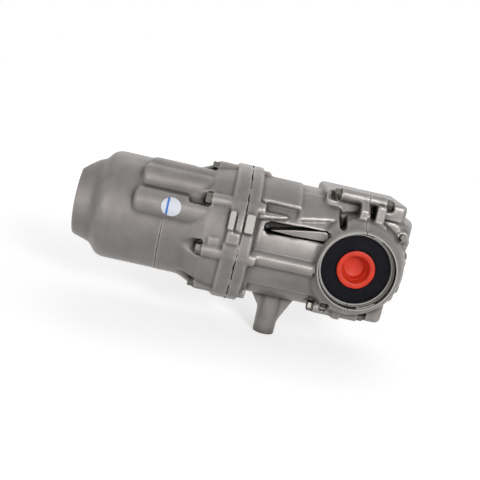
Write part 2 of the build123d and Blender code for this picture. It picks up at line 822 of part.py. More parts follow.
def housing_cavity():
    """Room for the gears and bearings inside the carrier case and the rear cover."""
    hub_y = ring_back_y + case_flange_t + chamber_gap
    side_y = hub_y + chamber_side_room
    left_r = carrier_bearing_r + chamber_left_room
    right_r = carrier_bearing_r + chamber_right_room
    room = y_turned([(0, -hub_y), (left_r, -hub_y), (left_r, 0), (chamber_r, chamber_slope_y),
                     (chamber_r, side_y), (right_r, side_y), (right_r, hub_y), (0, hub_y)])
    seat_y = ring_back_y + case_flange_t + carrier_bearing_w + side_shim_t
    room = room + y_rod(-seat_y, seat_y, carrier_bearing_r + seat_gap)
    room = room + y_rod(-output_face_y, output_face_y, shoulder_r)
    for side in (-1, 1):
        inner = side * (output_seal_y - output_seal_t)
        room = room + y_rod(inner, side * (output_face_y + 1), output_seal_r + seat_gap)
    room = room + x_rod(rear_bearing_x, 0, rear_bearing_r + seat_gap)
    room = room + x_rod(front_joint_x, 0, front_bearing_r - bearing_shoulder)
    room = room + x_rod(front_joint_x, front_bearing_x + front_bearing_w, front_bearing_r + seat_gap)
    return room


def cover_bolt_places():
    """Places of the long bolts that hold the rear cover."""
    return [(-cover_bolt_y, cover_top_left_z), (cover_bolt_y, cover_top_right_z),
            (-cover_bolt_y, cover_bottom_left_z), (cover_bolt_y, cover_bottom_right_z)]


def output_drum():
    """Turned form about the output axis that both castings share, with its two output rims."""
    out_r = chamber_r + chamber_wall
    hub_y = output_hub_y
    rim_y = output_face_y - output_rim_l
    side_y = drum_right_y + drum_right_step
    near = (chamber_near_r, chamber_near_y)
    points = [(0, -output_face_y), (output_rim_r, -output_face_y), (output_rim_r + 1, -rim_y),
              (output_hub_r, -hub_y), (near[0] - 2, near[1] - 8), near, *drum_left_steps,
              (out_r, drum_right_y), (drum_right_r, side_y), (output_rim_r + 2, rim_y - 3),
              (output_rim_r, output_face_y), (0, output_face_y)]
    rounds = [(output_rim_r + 1, -rim_y, 5), (output_hub_r, -hub_y, 6), (out_r, drum_right_y, 8),
              (drum_right_r, side_y, 6), (output_rim_r + 2, rim_y - 3, 5)]
    return y_turned(points, rounds)


def rim_groove(side):
    """Groove between an output's thin rim and the lower tube of its seal, deeper at the rear."""
    face = side * output_face_y
    lip = y_rod(face, face - side * rim_tube_drop, rim_groove_out_r)
    floor = face - side * rim_groove_depth
    ring = y_rod(face, floor, rim_groove_out_r) - y_rod(face, floor, rim_tube_r)
    bottom = face - side * rim_gutter_depth
    gutter = y_rod(face, bottom, rim_groove_out_r) - y_rod(face, bottom, rim_tube_r)
    low, high = sorted((face, bottom))
    behind = block((rim_gutter_start_x, low, -output_rim_r), (output_rim_r, high, output_rim_r))
    return lip + ring + (gutter & behind)


def joint_fin(x0, x1, inset):
    """Flange of the joint at the output axis, its outline drawn in by an inset."""
    side, top = joint_side_y - inset, joint_top_z - inset
    left, right, cut = joint_left_bottom_z + inset, joint_right_bottom_z + inset, joint_corner
    corners = [(-side, left + 2 * cut), (-side + cut, left), (side - cut, right), (side, right + cut),
               (side, top - cut), (side - cut, top), (cut - side, top), (-side, top - cut)]
    outline = Polyline(*corners, close=True)
    return Pos(x0, 0, 0) * extrude(Plane.YZ * make_face(outline), x1 - x0)


def gear_housing():
    """Outer form of the carrier case and rear cover together, before they part at the output axis."""
    low = (top_deck_front_x, -top_deck_y, top_deck_low_z)
    high = (top_deck_back_x, top_deck_y, top_deck_z)
    deck = bar(low, high, top_deck_edge_r)
    body = output_drum() + deck + joint_fin(-carrier_fin_t, 0, 0) + joint_fin(0, cover_fin_t, cover_fin_inset)
    for side in (-1, 1):
        x0, x1, z0, z1 = joint_pad
        y0, y1 = sorted((side * joint_pad_y, side * (joint_pad_y - tab_depth)))
        body = body + bar((x0, y0, z0), (x1, y1, z1), cast_edge_r)
    for y, z in cover_bolt_places():
        body = body + x_rod(cover_boss_front_x, cover_boss_back_x, cover_boss_r, y, z)
    return body - rim_groove(-1) - rim_groove(1)


def pocket():
    """Long recess in the left wall of the carrier case, with a ramp left standing in it."""
    x0, x1 = pocket_front_x + pocket_half_w, pocket_back_x
    middle = (pocket_front_x + pocket_back_x) / 2
    deep = -main_flange_r
    slot = y_rod(pocket_floor_y, deep, pocket_half_w, x0, 0)
    slot = slot + block((x0, deep, -pocket_half_w), (x1, pocket_floor_y, pocket_half_w))
    slot = Pos(middle, 0, pocket_z) * Rot(0, -pocket_tilt, 0) * Pos(-middle, 0, 0) * slot
    ramp = extrude(Plane.XZ * make_face(Polyline(*pocket_ramp, close=True)), -pocket_ramp_y)
    return slot - ramp


def window(x, z, floor_y):
    """Tall recess with round ends between the carrier wall and the joint."""
    half = (window_l - 2 * window_r) / 2
    deep = -main_flange_r
    slot = block((x - window_r, deep, z - half), (x + window_r, floor_y, z + half))
    for end_z in (z - half, z + half):
        slot = slot + y_rod(deep, floor_y, window_r, x, end_z)
    return slot


def carrier_form():
    """Outer form of the carrier case in front of the gear chamber."""
    flange_end = front_joint_x + carrier_flange_t
    wall_x = flange_end + wall_step
    points = [(front_joint_x, 0), (front_joint_x, main_flange_r - joint_edge),
              (front_joint_x + joint_edge, main_flange_r), (flange_end, main_flange_r),
              (flange_end + wall_step / 2, carrier_r + 1), (wall_x, carrier_r), (shell_back_x, carrier_r),
              (shell_end_x, shell_end_r), (shell_end_x, 0)]
    rounds = [(flange_end, main_flange_r, cast_edge_r), (shell_back_x, carrier_r, shell_round_r)]
    body = x_turned(points, rounds)
    shell = x_rod(wall_x, 0, carrier_r + 1) - x_rod(wall_x, 0, underside_r)
    return body - (shell & block((wall_x, -carrier_r - 1, -carrier_r - 1), (0, carrier_r + 1, wall_low_z)))


def leg():
    """Round leg with the gusset that carries it."""
    post = Pos(leg_x, 0, (leg_z + leg_root_z) / 2) * Cone(leg_r, leg_top_r, leg_root_z - leg_z)
    web = extrude(Plane.XZ * make_face(Polyline(*gusset, close=True)), gusset_t / 2, both=True)
    front, back = web.faces().sort_by(Axis.Y)[0], web.faces().sort_by(Axis.Y)[-1]
    return post + fillet(front.edges() + back.edges(), gusset_edge_r)


def carrier_case(housing, cavity):
    """Cast case of the pinion and the front half of the gear chamber."""
    wall_x = front_joint_x + carrier_flange_t - 2
    reach = main_flange_r + lug_rise - leg_z
    low, high, low_end = middle_panel_angles
    body = carrier_form() + (housing & block((front_joint_x, -reach, -reach), (0, reach, reach)))
    body = body + panel(wall_x, upper_panel_back_x, *upper_panel_angles, upper_panel_r, panel_edge_r)
    body = body + panel(*middle_panel_x, low, high, middle_panel_r, panel_edge_r, low_end)
    low, high, low_end = ledge_angles
    body = body + panel(wall_x, ledge_back_x, low, high, ledge_r, ledge_edge_r, low_end)
    body = body + x_rod(wall_x, rib_end_x, rib_r, rib_y, rib_z)
    for y, z in bolt_places():
        body = body + x_rod(front_joint_x, front_joint_x + case_boss_back + 2, case_boss_r, y, z)
    body = body + lug(front_joint_x + 1, front_joint_x + 1 + rear_lug_t)
    body = body - pocket() - window(window_x, window_z, window_floor_y)
    body = body - window(window_low_x, window_low_z, window_floor_y) + leg() - cavity
    relief = x_rod(front_joint_x, front_joint_x + case_relief_l, case_relief_out_r)
    body = body - (relief - x_rod(front_joint_x, front_joint_x + case_relief_l, case_relief_in_r))
    for y, z in bolt_places():
        body = body - x_rod(front_joint_x, front_joint_x + case_boss_back, case_bolt_r, y, z)
    for y, z in dowel_places():
        body = body - x_rod(front_joint_x, front_joint_x + dowel_l / 2, dowel_r + seat_gap, y, z)
    for y, z in cover_bolt_places():
        body = body - x_rod(cover_boss_front_x, 0, cover_bolt_r + body_gap, y, z)
        head_x = cover_boss_front_x - cover_head_room
        body = body - x_rod(head_x, cover_boss_front_x, cover_boss_r + tool_room, y, z)
    return single(body - z_rod(leg_z, leg_z + leg_thread_l, leg_thread_r, leg_x, 0))


def cover_back():
    """Broad back of the rear cover with its ribs, foot and plug bosses."""
    plan = make_face(Polyline(*cover_plan, close=True))
    body = Pos(0, 0, cover_low_z) * extrude(plan, cover_high_z - cover_low_z)
    body = fillet([edge for edge in body.edges() if edge.bounding_box().min.X > 1], cover_edge_r)
    for z in cover_rib_zs:
        body = body + Pos(0, 0, z) * extrude(offset(plan, cover_rib_rise), cover_rib_w)
    body = body + bar(*cover_foot, cover_foot_edge_r)
    vent = y_rod(vent_plug_seat_y, vent_plug_seat_y + vent_plug_l, vent_plug_boss_r, vent_plug_x, vent_plug_z)
    for side in (-1, 1):
        x0, x1, z0, z1 = cover_tab
        y0, y1 = sorted((side * joint_side_y, side * (joint_side_y - tab_depth)))
        body = body + bar((x0, y0, z0), (x1, y1, z1), cast_edge_r)
    return body + vent


def rear_cover(housing, cavity):
    """Cast cover that closes the gear chamber and caps the output bores."""
    reach = main_flange_r + lug_rise
    body = (housing + cover_back()) & block((0, -reach, -reach), (cover_back_x + reach, reach, reach))
    body = body - cavity
    for y, z in cover_bolt_places():
        body = body - x_rod(0, cover_boss_back_x, cover_bolt_r + body_gap, y, z)
        nut_x = cover_boss_back_x + cover_nut_room
        body = body - x_rod(cover_boss_back_x, nut_x, cover_boss_r + tool_room, y, z)
    for z in (fill_plug_z, drain_plug_z):
        body = body - x_rod(0, plug_seat_x, plug_thread_r, plug_y, z)
        body = body - x_rod(plug_seat_x, cover_back_x + reach, plug_head_r + tool_room, plug_y, z)
    vent_end = vent_plug_seat_y + vent_plug_l
    return single(body - y_rod(vent_plug_seat_y, vent_end, vent_plug_r, vent_plug_x, vent_plug_z))


def case_plug(z):
    """Threaded plug with a hexagon socket in the rear cover."""
    face_x = plug_seat_x + plug_head_t
    plug = x_rod(plug_seat_x - plug_thread_l, plug_seat_x, plug_thread_r - seat_gap, plug_y, z)
    plug = plug + x_rod(plug_seat_x, face_x, plug_head_r, plug_y, z)
    socket = extrude(RegularPolygon(plug_socket_r, 6), plug_socket_l)
    return single(plug - Pos(face_x - plug_socket_l / 2, plug_y, z) * Rot(0, 90, 0) * socket)


def vent_plug():
    """Small hexagon plug on the left side of the rear cover."""
    shank_l = vent_plug_l - body_gap
    bolt = hex_bolt(vent_plug_r - seat_gap, shank_l, vent_plug_flange_r, vent_plug_hex, vent_plug_head_h)
    return single(Pos(vent_plug_x, vent_plug_seat_y, vent_plug_z) * Rot(90, 0, 0) * bolt)


def cover_bolts():
    """Long bolts through the carrier case and the rear cover."""
    reach = cover_boss_back_x - cover_boss_front_x + cover_nut_t + 2
    bolt = hex_bolt(cover_bolt_r - seat_gap, reach, cover_bolt_head_r, cover_bolt_hex, cover_bolt_head_h)
    return group([Pos(cover_boss_front_x, y, z) * Rot(0, -90, 0) * bolt for y, z in cover_bolt_places()])


def cover_nuts():
    """Nuts of the long cover bolts."""
    nut = extrude(RegularPolygon(cover_bolt_hex / 2, 6, major_radius=False), cover_nut_t)
    nut = nut - Cylinder(cover_bolt_r, 4 * cover_nut_t)
    return group([Pos(cover_boss_back_x, y, z) * Rot(0, 90, 0) * nut for y, z in cover_bolt_places()])


def dowels():
    """Dowel pins that line up the front case with the carrier case."""
    x0, x1 = front_joint_x - dowel_l / 2 + body_gap, front_joint_x + dowel_l / 2 - body_gap
    return group([x_rod(x0, x1, dowel_r, y, z) for y, z in dowel_places()])


def front_case_bolts():
    """Bolts through the front case into the carrier case."""
    reach = front_joint_x + case_boss_back - 2 - case_boss_x
    bolt = hex_bolt(case_bolt_r - seat_gap, reach, case_bolt_head_r, case_bolt_hex, case_bolt_head_h)
    return group([Pos(case_boss_x, y, z) * Rot(0, -90, 0) * bolt for y, z in bolt_places()])


# Coupling

def input_hub():
    """Input shaft with a blind splined bore at the nose and a pilot bore behind."""
    end_x = drum_x + drum_web + input_end_l
    collar_x = input_bearing_x + input_bearing_w
    bore_x = input_x + input_bore_l
    return single(x_turned([(input_x, halfshaft_r), (input_x, input_journal_r), (collar_x, input_journal_r),
                            (collar_x, input_collar_r), (drum_x, input_collar_r), (drum_x, input_journal_r),
                            (end_x, input_journal_r), (end_x, pilot_r), (end_x - pilot_l, pilot_r),
                            (end_x - pilot_l, 0), (bore_x, 0), (bore_x, halfshaft_r)]))


def keys(count, x0, x1, r0, r1, width, start=0.0):
    """Bars spaced around the pinion axis, used as keys or as key ways."""
    bars = []
    for i in range(count):
        bar = block((x0, -width / 2, r0), (x1, width / 2, r1))
        bars.append(bar.rotate(Axis.X, start + 360 / count * i))
    return bars


def clutch_drum():
    """Drum that drives the steel plates, open to the rear."""
    end_x = drum_x + drum_l
    inner_r = drum_r - drum_wall
    web_x, bore_r = drum_x + drum_web, input_journal_r + seat_gap
    points = [(drum_x, bore_r), (drum_x, drum_r), (end_x, drum_r), (end_x, inner_r),
              (web_x, inner_r), (web_x, bore_r)]
    body = x_turned(points, [(drum_x, drum_r, drum_edge_r)])
    slots = keys(plate_keys, web_x, end_x, inner_r - 2, inner_r + drum_key_depth, drum_key_w)
    return single(body.cut(*slots))


def steel_plates():
    """Plates that turn with the drum, the last one thick to take the piston's push."""
    outer_r = drum_r - drum_wall - body_gap
    plates = []
    pitch = 2 * (plate_t + body_gap)
    for i in range(plate_pairs + 1):
        x0 = plate_start_x + pitch * i
        x1 = x0 + plate_t * (2 if i == plate_pairs else 1)
        tabs = keys(plate_keys, x0, x1, outer_r - 4, outer_r + drum_key_depth, drum_key_w - 2 * body_gap)
        plates.append(x_rod(x0, x1, outer_r).fuse(*tabs) - x_rod(x0, x1, hub_r + 2))
    return group(plates)


def friction_plates():
    """Lined plates that turn with the clutch hub."""
    plates = []
    pitch = 2 * (plate_t + body_gap)
    for i in range(plate_pairs):
        x0 = plate_start_x + pitch * i + plate_t + body_gap
        x1 = x0 + plate_t
        ring = x_rod(x0, x1, disc_outer_r) - x_rod(x0, x1, hub_r + body_gap)
        foot_r = hub_r - hub_key_depth + body_gap
        plates.append(ring.fuse(*keys(plate_keys, x0, x1, foot_r, hub_r + 3, hub_key_w - 2 * body_gap)))
    return group(plates)


def clutch_hub():
    """Hub of the friction plates on its shaft, with a pilot in the input shaft."""
    pilot_x = drum_x + drum_web + input_end_l - pilot_l + body_gap
    end_x, web_x = hub_x + hub_l, hub_x + hub_l - hub_wall
    socket_r, socket_end_x = pinion_spline_r + seat_gap, pinion_spline_x - 2
    turned_r, inner_r = pilot_r - running_gap, hub_r - hub_wall
    body = x_turned([(pilot_x, 0), (pilot_x, turned_r), (hub_x, turned_r), (hub_x, hub_shaft_r),
                     (web_x, hub_shaft_r), (web_x, inner_r), (hub_x, inner_r), (hub_x, hub_r),
                     (end_x, hub_r), (end_x, hub_shaft_r), (hub_socket_x, hub_shaft_r),
                     (hub_socket_x, socket_r), (socket_end_x, socket_r), (socket_end_x, 0)])
    slots = keys(plate_keys, hub_x, web_x, hub_r - hub_key_depth, hub_r + 1, hub_key_w)
    return single(body.cut(*slots))


def pump_body():
    """Body that carries the piston and the pumps, bolted to the carrier case."""
    bore_r, recess_r = hub_shaft_r + body_gap, pinion_nut_r + pump_recess_gap
    recess_x, bottom_x = front_joint_x - pump_recess_l, pump_x + piston_depth
    body = x_turned([(pump_x, bore_r), (pump_x, pump_r), (front_joint_x, pump_r), (front_joint_x, recess_r),
                     (recess_x, recess_r), (recess_x, bore_r)])
    return single(body - (x_rod(pump_x, bottom_x, piston_outer_r) - x_rod(pump_x, bottom_x, piston_inner_r)))


def clutch_piston():
    """Ring piston that presses the plates together."""
    x1 = pump_x + piston_depth - body_gap
    x0 = x1 - piston_l
    return single(x_rod(x0, x1, piston_outer_r - running_gap) - x_rod(x0, x1, piston_inner_r + running_gap))


def pinion_nut():
    """Nut that loads the pinion bearings."""
    x0 = front_bearing_x - pinion_nut_w
    nut = Pos(x0, 0, 0) * Rot(0, 90, 0) * extrude(RegularPolygon(pinion_nut_r, 6), pinion_nut_w)
    return single(nut - x_rod(x0, front_bearing_x, front_journal_r + seat_gap))


def pinion_spacer():
    """Sleeve that spaces the two pinion bearings."""
    x0, x1 = front_bearing_x + front_bearing_w, rear_bearing_x
    return single(x_rod(x0, x1, pinion_shaft_r + spacer_wall) - x_rod(x0, x1, pinion_shaft_r + body_gap))


def main():
    housing = gear_housing()
    cavity = housing_cavity()
    carrier_y = ring_back_y + case_flange_t
    nodes = {
        "front_case": front_case(),
        "carrier_case": carrier_case(housing, cavity),
        "rear_cover": rear_cover(housing, cavity),
        "front_case_bolts": front_case_bolts(),
        "front_case_dowels": dowels(),
        "cover_bolts": cover_bolts(),
        "cover_nuts": cover_nuts(),
        "fill_plug": case_plug(fill_plug_z),
        "drain_plug": case_plug(drain_plug_z),
        "vent_plug": vent_plug(),
        "input_seal": input_seal(),
        "input_hub": input_hub(),
        "clutch_drum": clutch_drum(),
        "clutch_steel_plates": steel_plates(),
        "clutch_friction_plates": friction_plates(),
        "clutch_hub": clutch_hub(),
        "clutch_piston": clutch_piston(),
        "pump_body": pump_body(),
        "drive_pinion": drive_pinion(),
        "pinion_nut": pinion_nut(),
        "pinion_bearing_spacer": pinion_spacer(),
        "ring_gear": ring_gear(),
        "ring_gear_bolts": ring_gear_bolts(),
        "differential_case": differential_case(),
        "spider_cross_pin": cross_pin(),
        "cross_pin_roll_pin": cross_pin_roll_pin(),
    }
    bearing_pieces = ("cup", "cone", "rollers", "cage")
    for side, name in ((-1, "left"), (1, "right")):
        nodes[name + "_output_seal"] = output_seal(side)
        nodes[name + "_transport_plug"] = transport_plug(side)
        nodes[name + "_side_shim"] = side_shim(side)
        nodes[name + "_side_gear"] = side_gear(side)
        nodes[name + "_side_gear_washer"] = side_washer(side)
        pieces = tapered_bearing(carrier_bearing_r, trunnion_r + seat_gap, carrier_bearing_w)
        place = Pos(0, side * (carrier_y + carrier_bearing_w), 0) * Rot(90 * side, 0, 0)
        for piece, shape in zip(bearing_pieces, pieces):
            nodes[name + "_carrier_bearing_" + piece] = place * shape
    for side, name in ((1, "upper"), (-1, "lower")):
        nodes[name + "_spider_gear"] = spider_gear(side)
        nodes[name + "_spider_washer"] = spider_washer(side)
    outer, inner, balls = ball_bearing()
    nodes["input_bearing_outer_race"] = outer
    nodes["input_bearing_inner_race"] = inner
    nodes["input_bearing_balls"] = balls
    pinion_bearings = (
        ("rear", rear_bearing_r, pinion_shaft_r, rear_bearing_w, rear_bearing_x, 90),
        ("front", front_bearing_r, front_journal_r, front_bearing_w, front_bearing_x + front_bearing_w, -90),
    )
    for name, outer_r, inner_r, width, x, turn in pinion_bearings:
        pieces = tapered_bearing(outer_r, inner_r + seat_gap, width)
        place = Pos(x, 0, 0) * Rot(0, turn, 0)
        for piece, shape in zip(bearing_pieces, pieces):
            nodes["pinion_" + name + "_bearing_" + piece] = place * shape
    for name, shape in nodes.items():
        export_step(shape, "parts/" + name + ".step")


main()
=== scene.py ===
import bpy
import math
from mathutils import Matrix, Quaternion, Vector


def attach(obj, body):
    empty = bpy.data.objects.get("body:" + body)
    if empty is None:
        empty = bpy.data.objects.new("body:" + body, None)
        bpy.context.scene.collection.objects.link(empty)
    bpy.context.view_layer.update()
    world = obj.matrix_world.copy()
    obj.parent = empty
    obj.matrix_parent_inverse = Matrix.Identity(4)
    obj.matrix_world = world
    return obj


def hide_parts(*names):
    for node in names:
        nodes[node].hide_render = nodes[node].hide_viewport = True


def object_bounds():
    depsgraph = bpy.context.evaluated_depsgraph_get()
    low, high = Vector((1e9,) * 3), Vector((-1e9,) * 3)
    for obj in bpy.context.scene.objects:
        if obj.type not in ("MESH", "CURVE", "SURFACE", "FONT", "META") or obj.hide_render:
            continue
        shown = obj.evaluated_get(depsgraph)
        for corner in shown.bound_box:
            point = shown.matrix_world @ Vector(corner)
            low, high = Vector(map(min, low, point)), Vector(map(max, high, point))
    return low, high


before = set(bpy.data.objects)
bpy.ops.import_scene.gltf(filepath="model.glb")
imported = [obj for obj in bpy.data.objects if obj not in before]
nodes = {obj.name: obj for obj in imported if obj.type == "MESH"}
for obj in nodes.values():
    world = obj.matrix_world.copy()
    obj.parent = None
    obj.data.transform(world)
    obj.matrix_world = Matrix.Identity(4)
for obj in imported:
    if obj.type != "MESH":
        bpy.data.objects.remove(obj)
cad_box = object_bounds()

# The camera
# It looks at the left output from the photographed side, a little above the pinion axis, and is
# rolled so that the nose of the front case points up to the left.
eye = Vector((-0.185, -0.933, 0.175))
aim = Vector((-0.135, 0.0, -0.010))
camera_roll = math.radians(13.1)

bpy.ops.object.camera_add(location=eye)
camera = bpy.context.object
camera.rotation_mode = "QUATERNION"
camera.rotation_quaternion = (aim - eye).to_track_quat("-Z", "Y") @ Quaternion((0, 0, 1), camera_roll)
camera.data.lens = 57.15
camera.data.sensor_width = 36
bpy.context.scene.camera = camera
bpy.context.scene.view_settings.view_transform = "Standard"


# The studio
# A plain pale floor at the foot of the part, a white surround, and three large soft lamps: one
# above on the right, one low on the left and one behind. The floor goes to white away from the part.
floor_size = 8.0
floor_white = 0.82
floor_glow_near = 0.50
floor_glow_far = 0.80
surround_light = 0.26


def soft_lamp(name, place, target, size, watts):
    """Square area lamp turned towards a point."""
    bpy.ops.object.light_add(type="AREA", location=place)
    lamp = bpy.context.object
    lamp.name = name
    lamp.data.size = size
    lamp.data.energy = watts
    lamp.rotation_euler = (Vector(target) - Vector(place)).to_track_quat("-Z", "Y").to_euler()


def seen_directly(tree):
    """Factor that is one for camera, mirror and glass rays, so that they all see a white surround."""
    path = tree.nodes.new("ShaderNodeLightPath")
    glossy = tree.nodes.new("ShaderNodeMath")
    glossy.operation = "MAXIMUM"
    tree.links.new(path.outputs["Is Camera Ray"], glossy.inputs[0])
    tree.links.new(path.outputs["Is Glossy Ray"], glossy.inputs[1])
    clear = tree.nodes.new("ShaderNodeMath")
    clear.operation = "MAXIMUM"
    tree.links.new(glossy.outputs[0], clear.inputs[0])
    tree.links.new(path.outputs["Is Transmission Ray"], clear.inputs[1])
    return clear.outputs[0]


soft_lamp("key_lamp", (0.36, -1.25, 0.45), (-0.10, 0, 0), 0.4, 11)
soft_lamp("fill_lamp", (-0.85, -1.10, 0.15), (-0.15, 0, 0), 0.8, 3.5)
soft_lamp("back_lamp", (-0.10, 0.90, 1.00), (-0.12, 0, 0), 1.5, 5)

world = bpy.data.worlds.new("surround")
world.use_nodes = True
bpy.context.scene.world = world
background = world.node_tree.nodes["Background"]
background.inputs["Color"].default_value = (1, 1, 1, 1)
strength = world.node_tree.nodes.new("ShaderNodeMapRange")
strength.inputs["To Min"].default_value = surround_light
strength.inputs["To Max"].default_value = 1.0
world.node_tree.links.new(seen_directly(world.node_tree), strength.inputs["Value"])
world.node_tree.links.new(strength.outputs["Result"], background.inputs["Strength"])

bpy.ops.mesh.primitive_plane_add(size=floor_size, location=(-0.13, 0, cad_box[0].z - 0.0005))
floor = bpy.context.object
floor.name = "studio_floor"
paper = bpy.data.materials.new("floor_paper")
paper.use_nodes = True
paper_tree = paper.node_tree
paper_shader = paper_tree.nodes["Principled BSDF"]
paper_shader.inputs["Base Color"].default_value = (floor_white, floor_white, floor_white, 1)
paper_shader.inputs["Roughness"].default_value = 0.9
paper_shader.inputs["Specular IOR Level"].default_value = 0.1
paper_shader.inputs["Emission Color"].default_value = (1, 1, 1, 1)
paper_place = paper_tree.nodes.new("ShaderNodeTexCoord")
paper_reach = paper_tree.nodes.new("ShaderNodeVectorMath")
paper_reach.operation = "LENGTH"
paper_tree.links.new(paper_place.outputs["Object"], paper_reach.inputs[0])
paper_fade = paper_tree.nodes.new("ShaderNodeMapRange")
paper_fade.interpolation_type = "SMOOTHSTEP"
paper_fade.inputs["From Min"].default_value = 0.15
paper_fade.inputs["From Max"].default_value = 1.10
paper_fade.inputs["To Min"].default_value = floor_glow_near
paper_fade.inputs["To Max"].default_value = floor_glow_far
paper_tree.links.new(paper_reach.outputs["Value"], paper_fade.inputs["Value"])
glow = paper_tree.nodes.new("ShaderNodeMath")
glow.operation = "MULTIPLY"
paper_tree.links.new(seen_directly(paper_tree), glow.inputs[0])
paper_tree.links.new(paper_fade.outputs["Result"], glow.inputs[1])
paper_tree.links.new(glow.outputs[0], paper_shader.inputs["Emission Strength"])
floor.data.materials.append(paper)


# Gears, shafts and bearings inside the housing
# Hardened steel, ground on the races and left grey on the flanks, with a film of oil. They keep
# their CAD shape and get a finish with fine grinding marks.


def oiled_steel(name, colour, roughness, grain):
    """Steel whose tone and gloss vary with a fine grain, its sharp edges slightly broken."""
    material = bpy.data.materials.new(name)
    material.use_nodes = True
    tree = material.node_tree
    shader = tree.nodes["Principled BSDF"]
    shader.inputs["Metallic"].default_value = 1.0
    place = tree.nodes.new("ShaderNodeTexCoord")
    cloud = tree.nodes.new("ShaderNodeTexNoise")
    cloud.inputs["Scale"].default_value = grain
    cloud.inputs["Detail"].default_value = 5
    tree.links.new(place.outputs["Object"], cloud.inputs["Vector"])
    tone = tree.nodes.new("ShaderNodeMix")
    tone.data_type = "RGBA"
    tone.inputs[6].default_value = [c * 0.72 for c in colour] + [1]
    tone.inputs[7].default_value = list(colour) + [1]
    tree.links.new(cloud.outputs["Fac"], tone.inputs[0])
    tree.links.new(tone.outputs[2], shader.inputs["Base Color"])
    gloss = tree.nodes.new("ShaderNodeMapRange")
    gloss.inputs["To Min"].default_value = roughness * 0.75
    gloss.inputs["To Max"].default_value = roughness * 1.35
    tree.links.new(cloud.outputs["Fac"], gloss.inputs["Value"])
    tree.links.new(gloss.outputs["Result"], shader.inputs["Roughness"])
    edge = tree.nodes.new("ShaderNodeBevel")
    edge.samples = 4
    edge.inputs["Radius"].default_value = 0.0003
    bump = tree.nodes.new("ShaderNodeBump")
    bump.inputs["Strength"].default_value = 0.15
    bump.inputs["Distance"].default_value = 0.0002
    tree.links.new(cloud.outputs["Fac"], bump.inputs["Height"])
    tree.links.new(edge.outputs["Normal"], bump.inputs["Normal"])
    tree.links.new(bump.outputs["Normal"], shader.inputs["Normal"])
    return material


def finish(names, material):
    """Gives CAD nodes a finish, and leaves their shape alone."""
    for name in names:
        nodes[name].data.materials.clear()
        nodes[name].data.materials.append(material)


gear_steel = oiled_steel("gear_steel", (0.34, 0.33, 0.32), 0.30, 900)
ground_steel = oiled_steel("ground_steel", (0.62, 0.61, 0.60), 0.18, 1400)
plate_steel = oiled_steel("plate_steel", (0.42, 0.41, 0.39), 0.36, 700)
lining = oiled_steel("friction_lining", (0.16, 0.12, 0.08), 0.80, 1800)

finish(["drive_pinion", "ring_gear", "left_side_gear", "right_side_gear", "upper_spider_gear",
        "lower_spider_gear", "differential_case", "clutch_drum", "clutch_hub", "input_hub",
        "pump_body", "clutch_piston"], gear_steel)
finish([name for name in nodes if "bearing" in name], ground_steel)
finish(["spider_cross_pin", "cross_pin_roll_pin", "upper_spider_washer", "lower_spider_washer",
        "left_side_gear_washer", "right_side_gear_washer", "left_side_shim", "right_side_shim",
        "pinion_nut", "clutch_steel_plates", "front_case_dowels", "ring_gear_bolts"], plate_steel)
finish(["clutch_friction_plates"], lining)


# Castings of the housing
# Three grey aluminium castings, shot-blasted after casting, then machined where they meet other
# parts. Each starts from its CAD shape with stock left on the machined faces; the edges are
# softened as the mould leaves them, and the machining then cuts back to size.
cast_grain = 0.0016
machining_stock = 0.0010


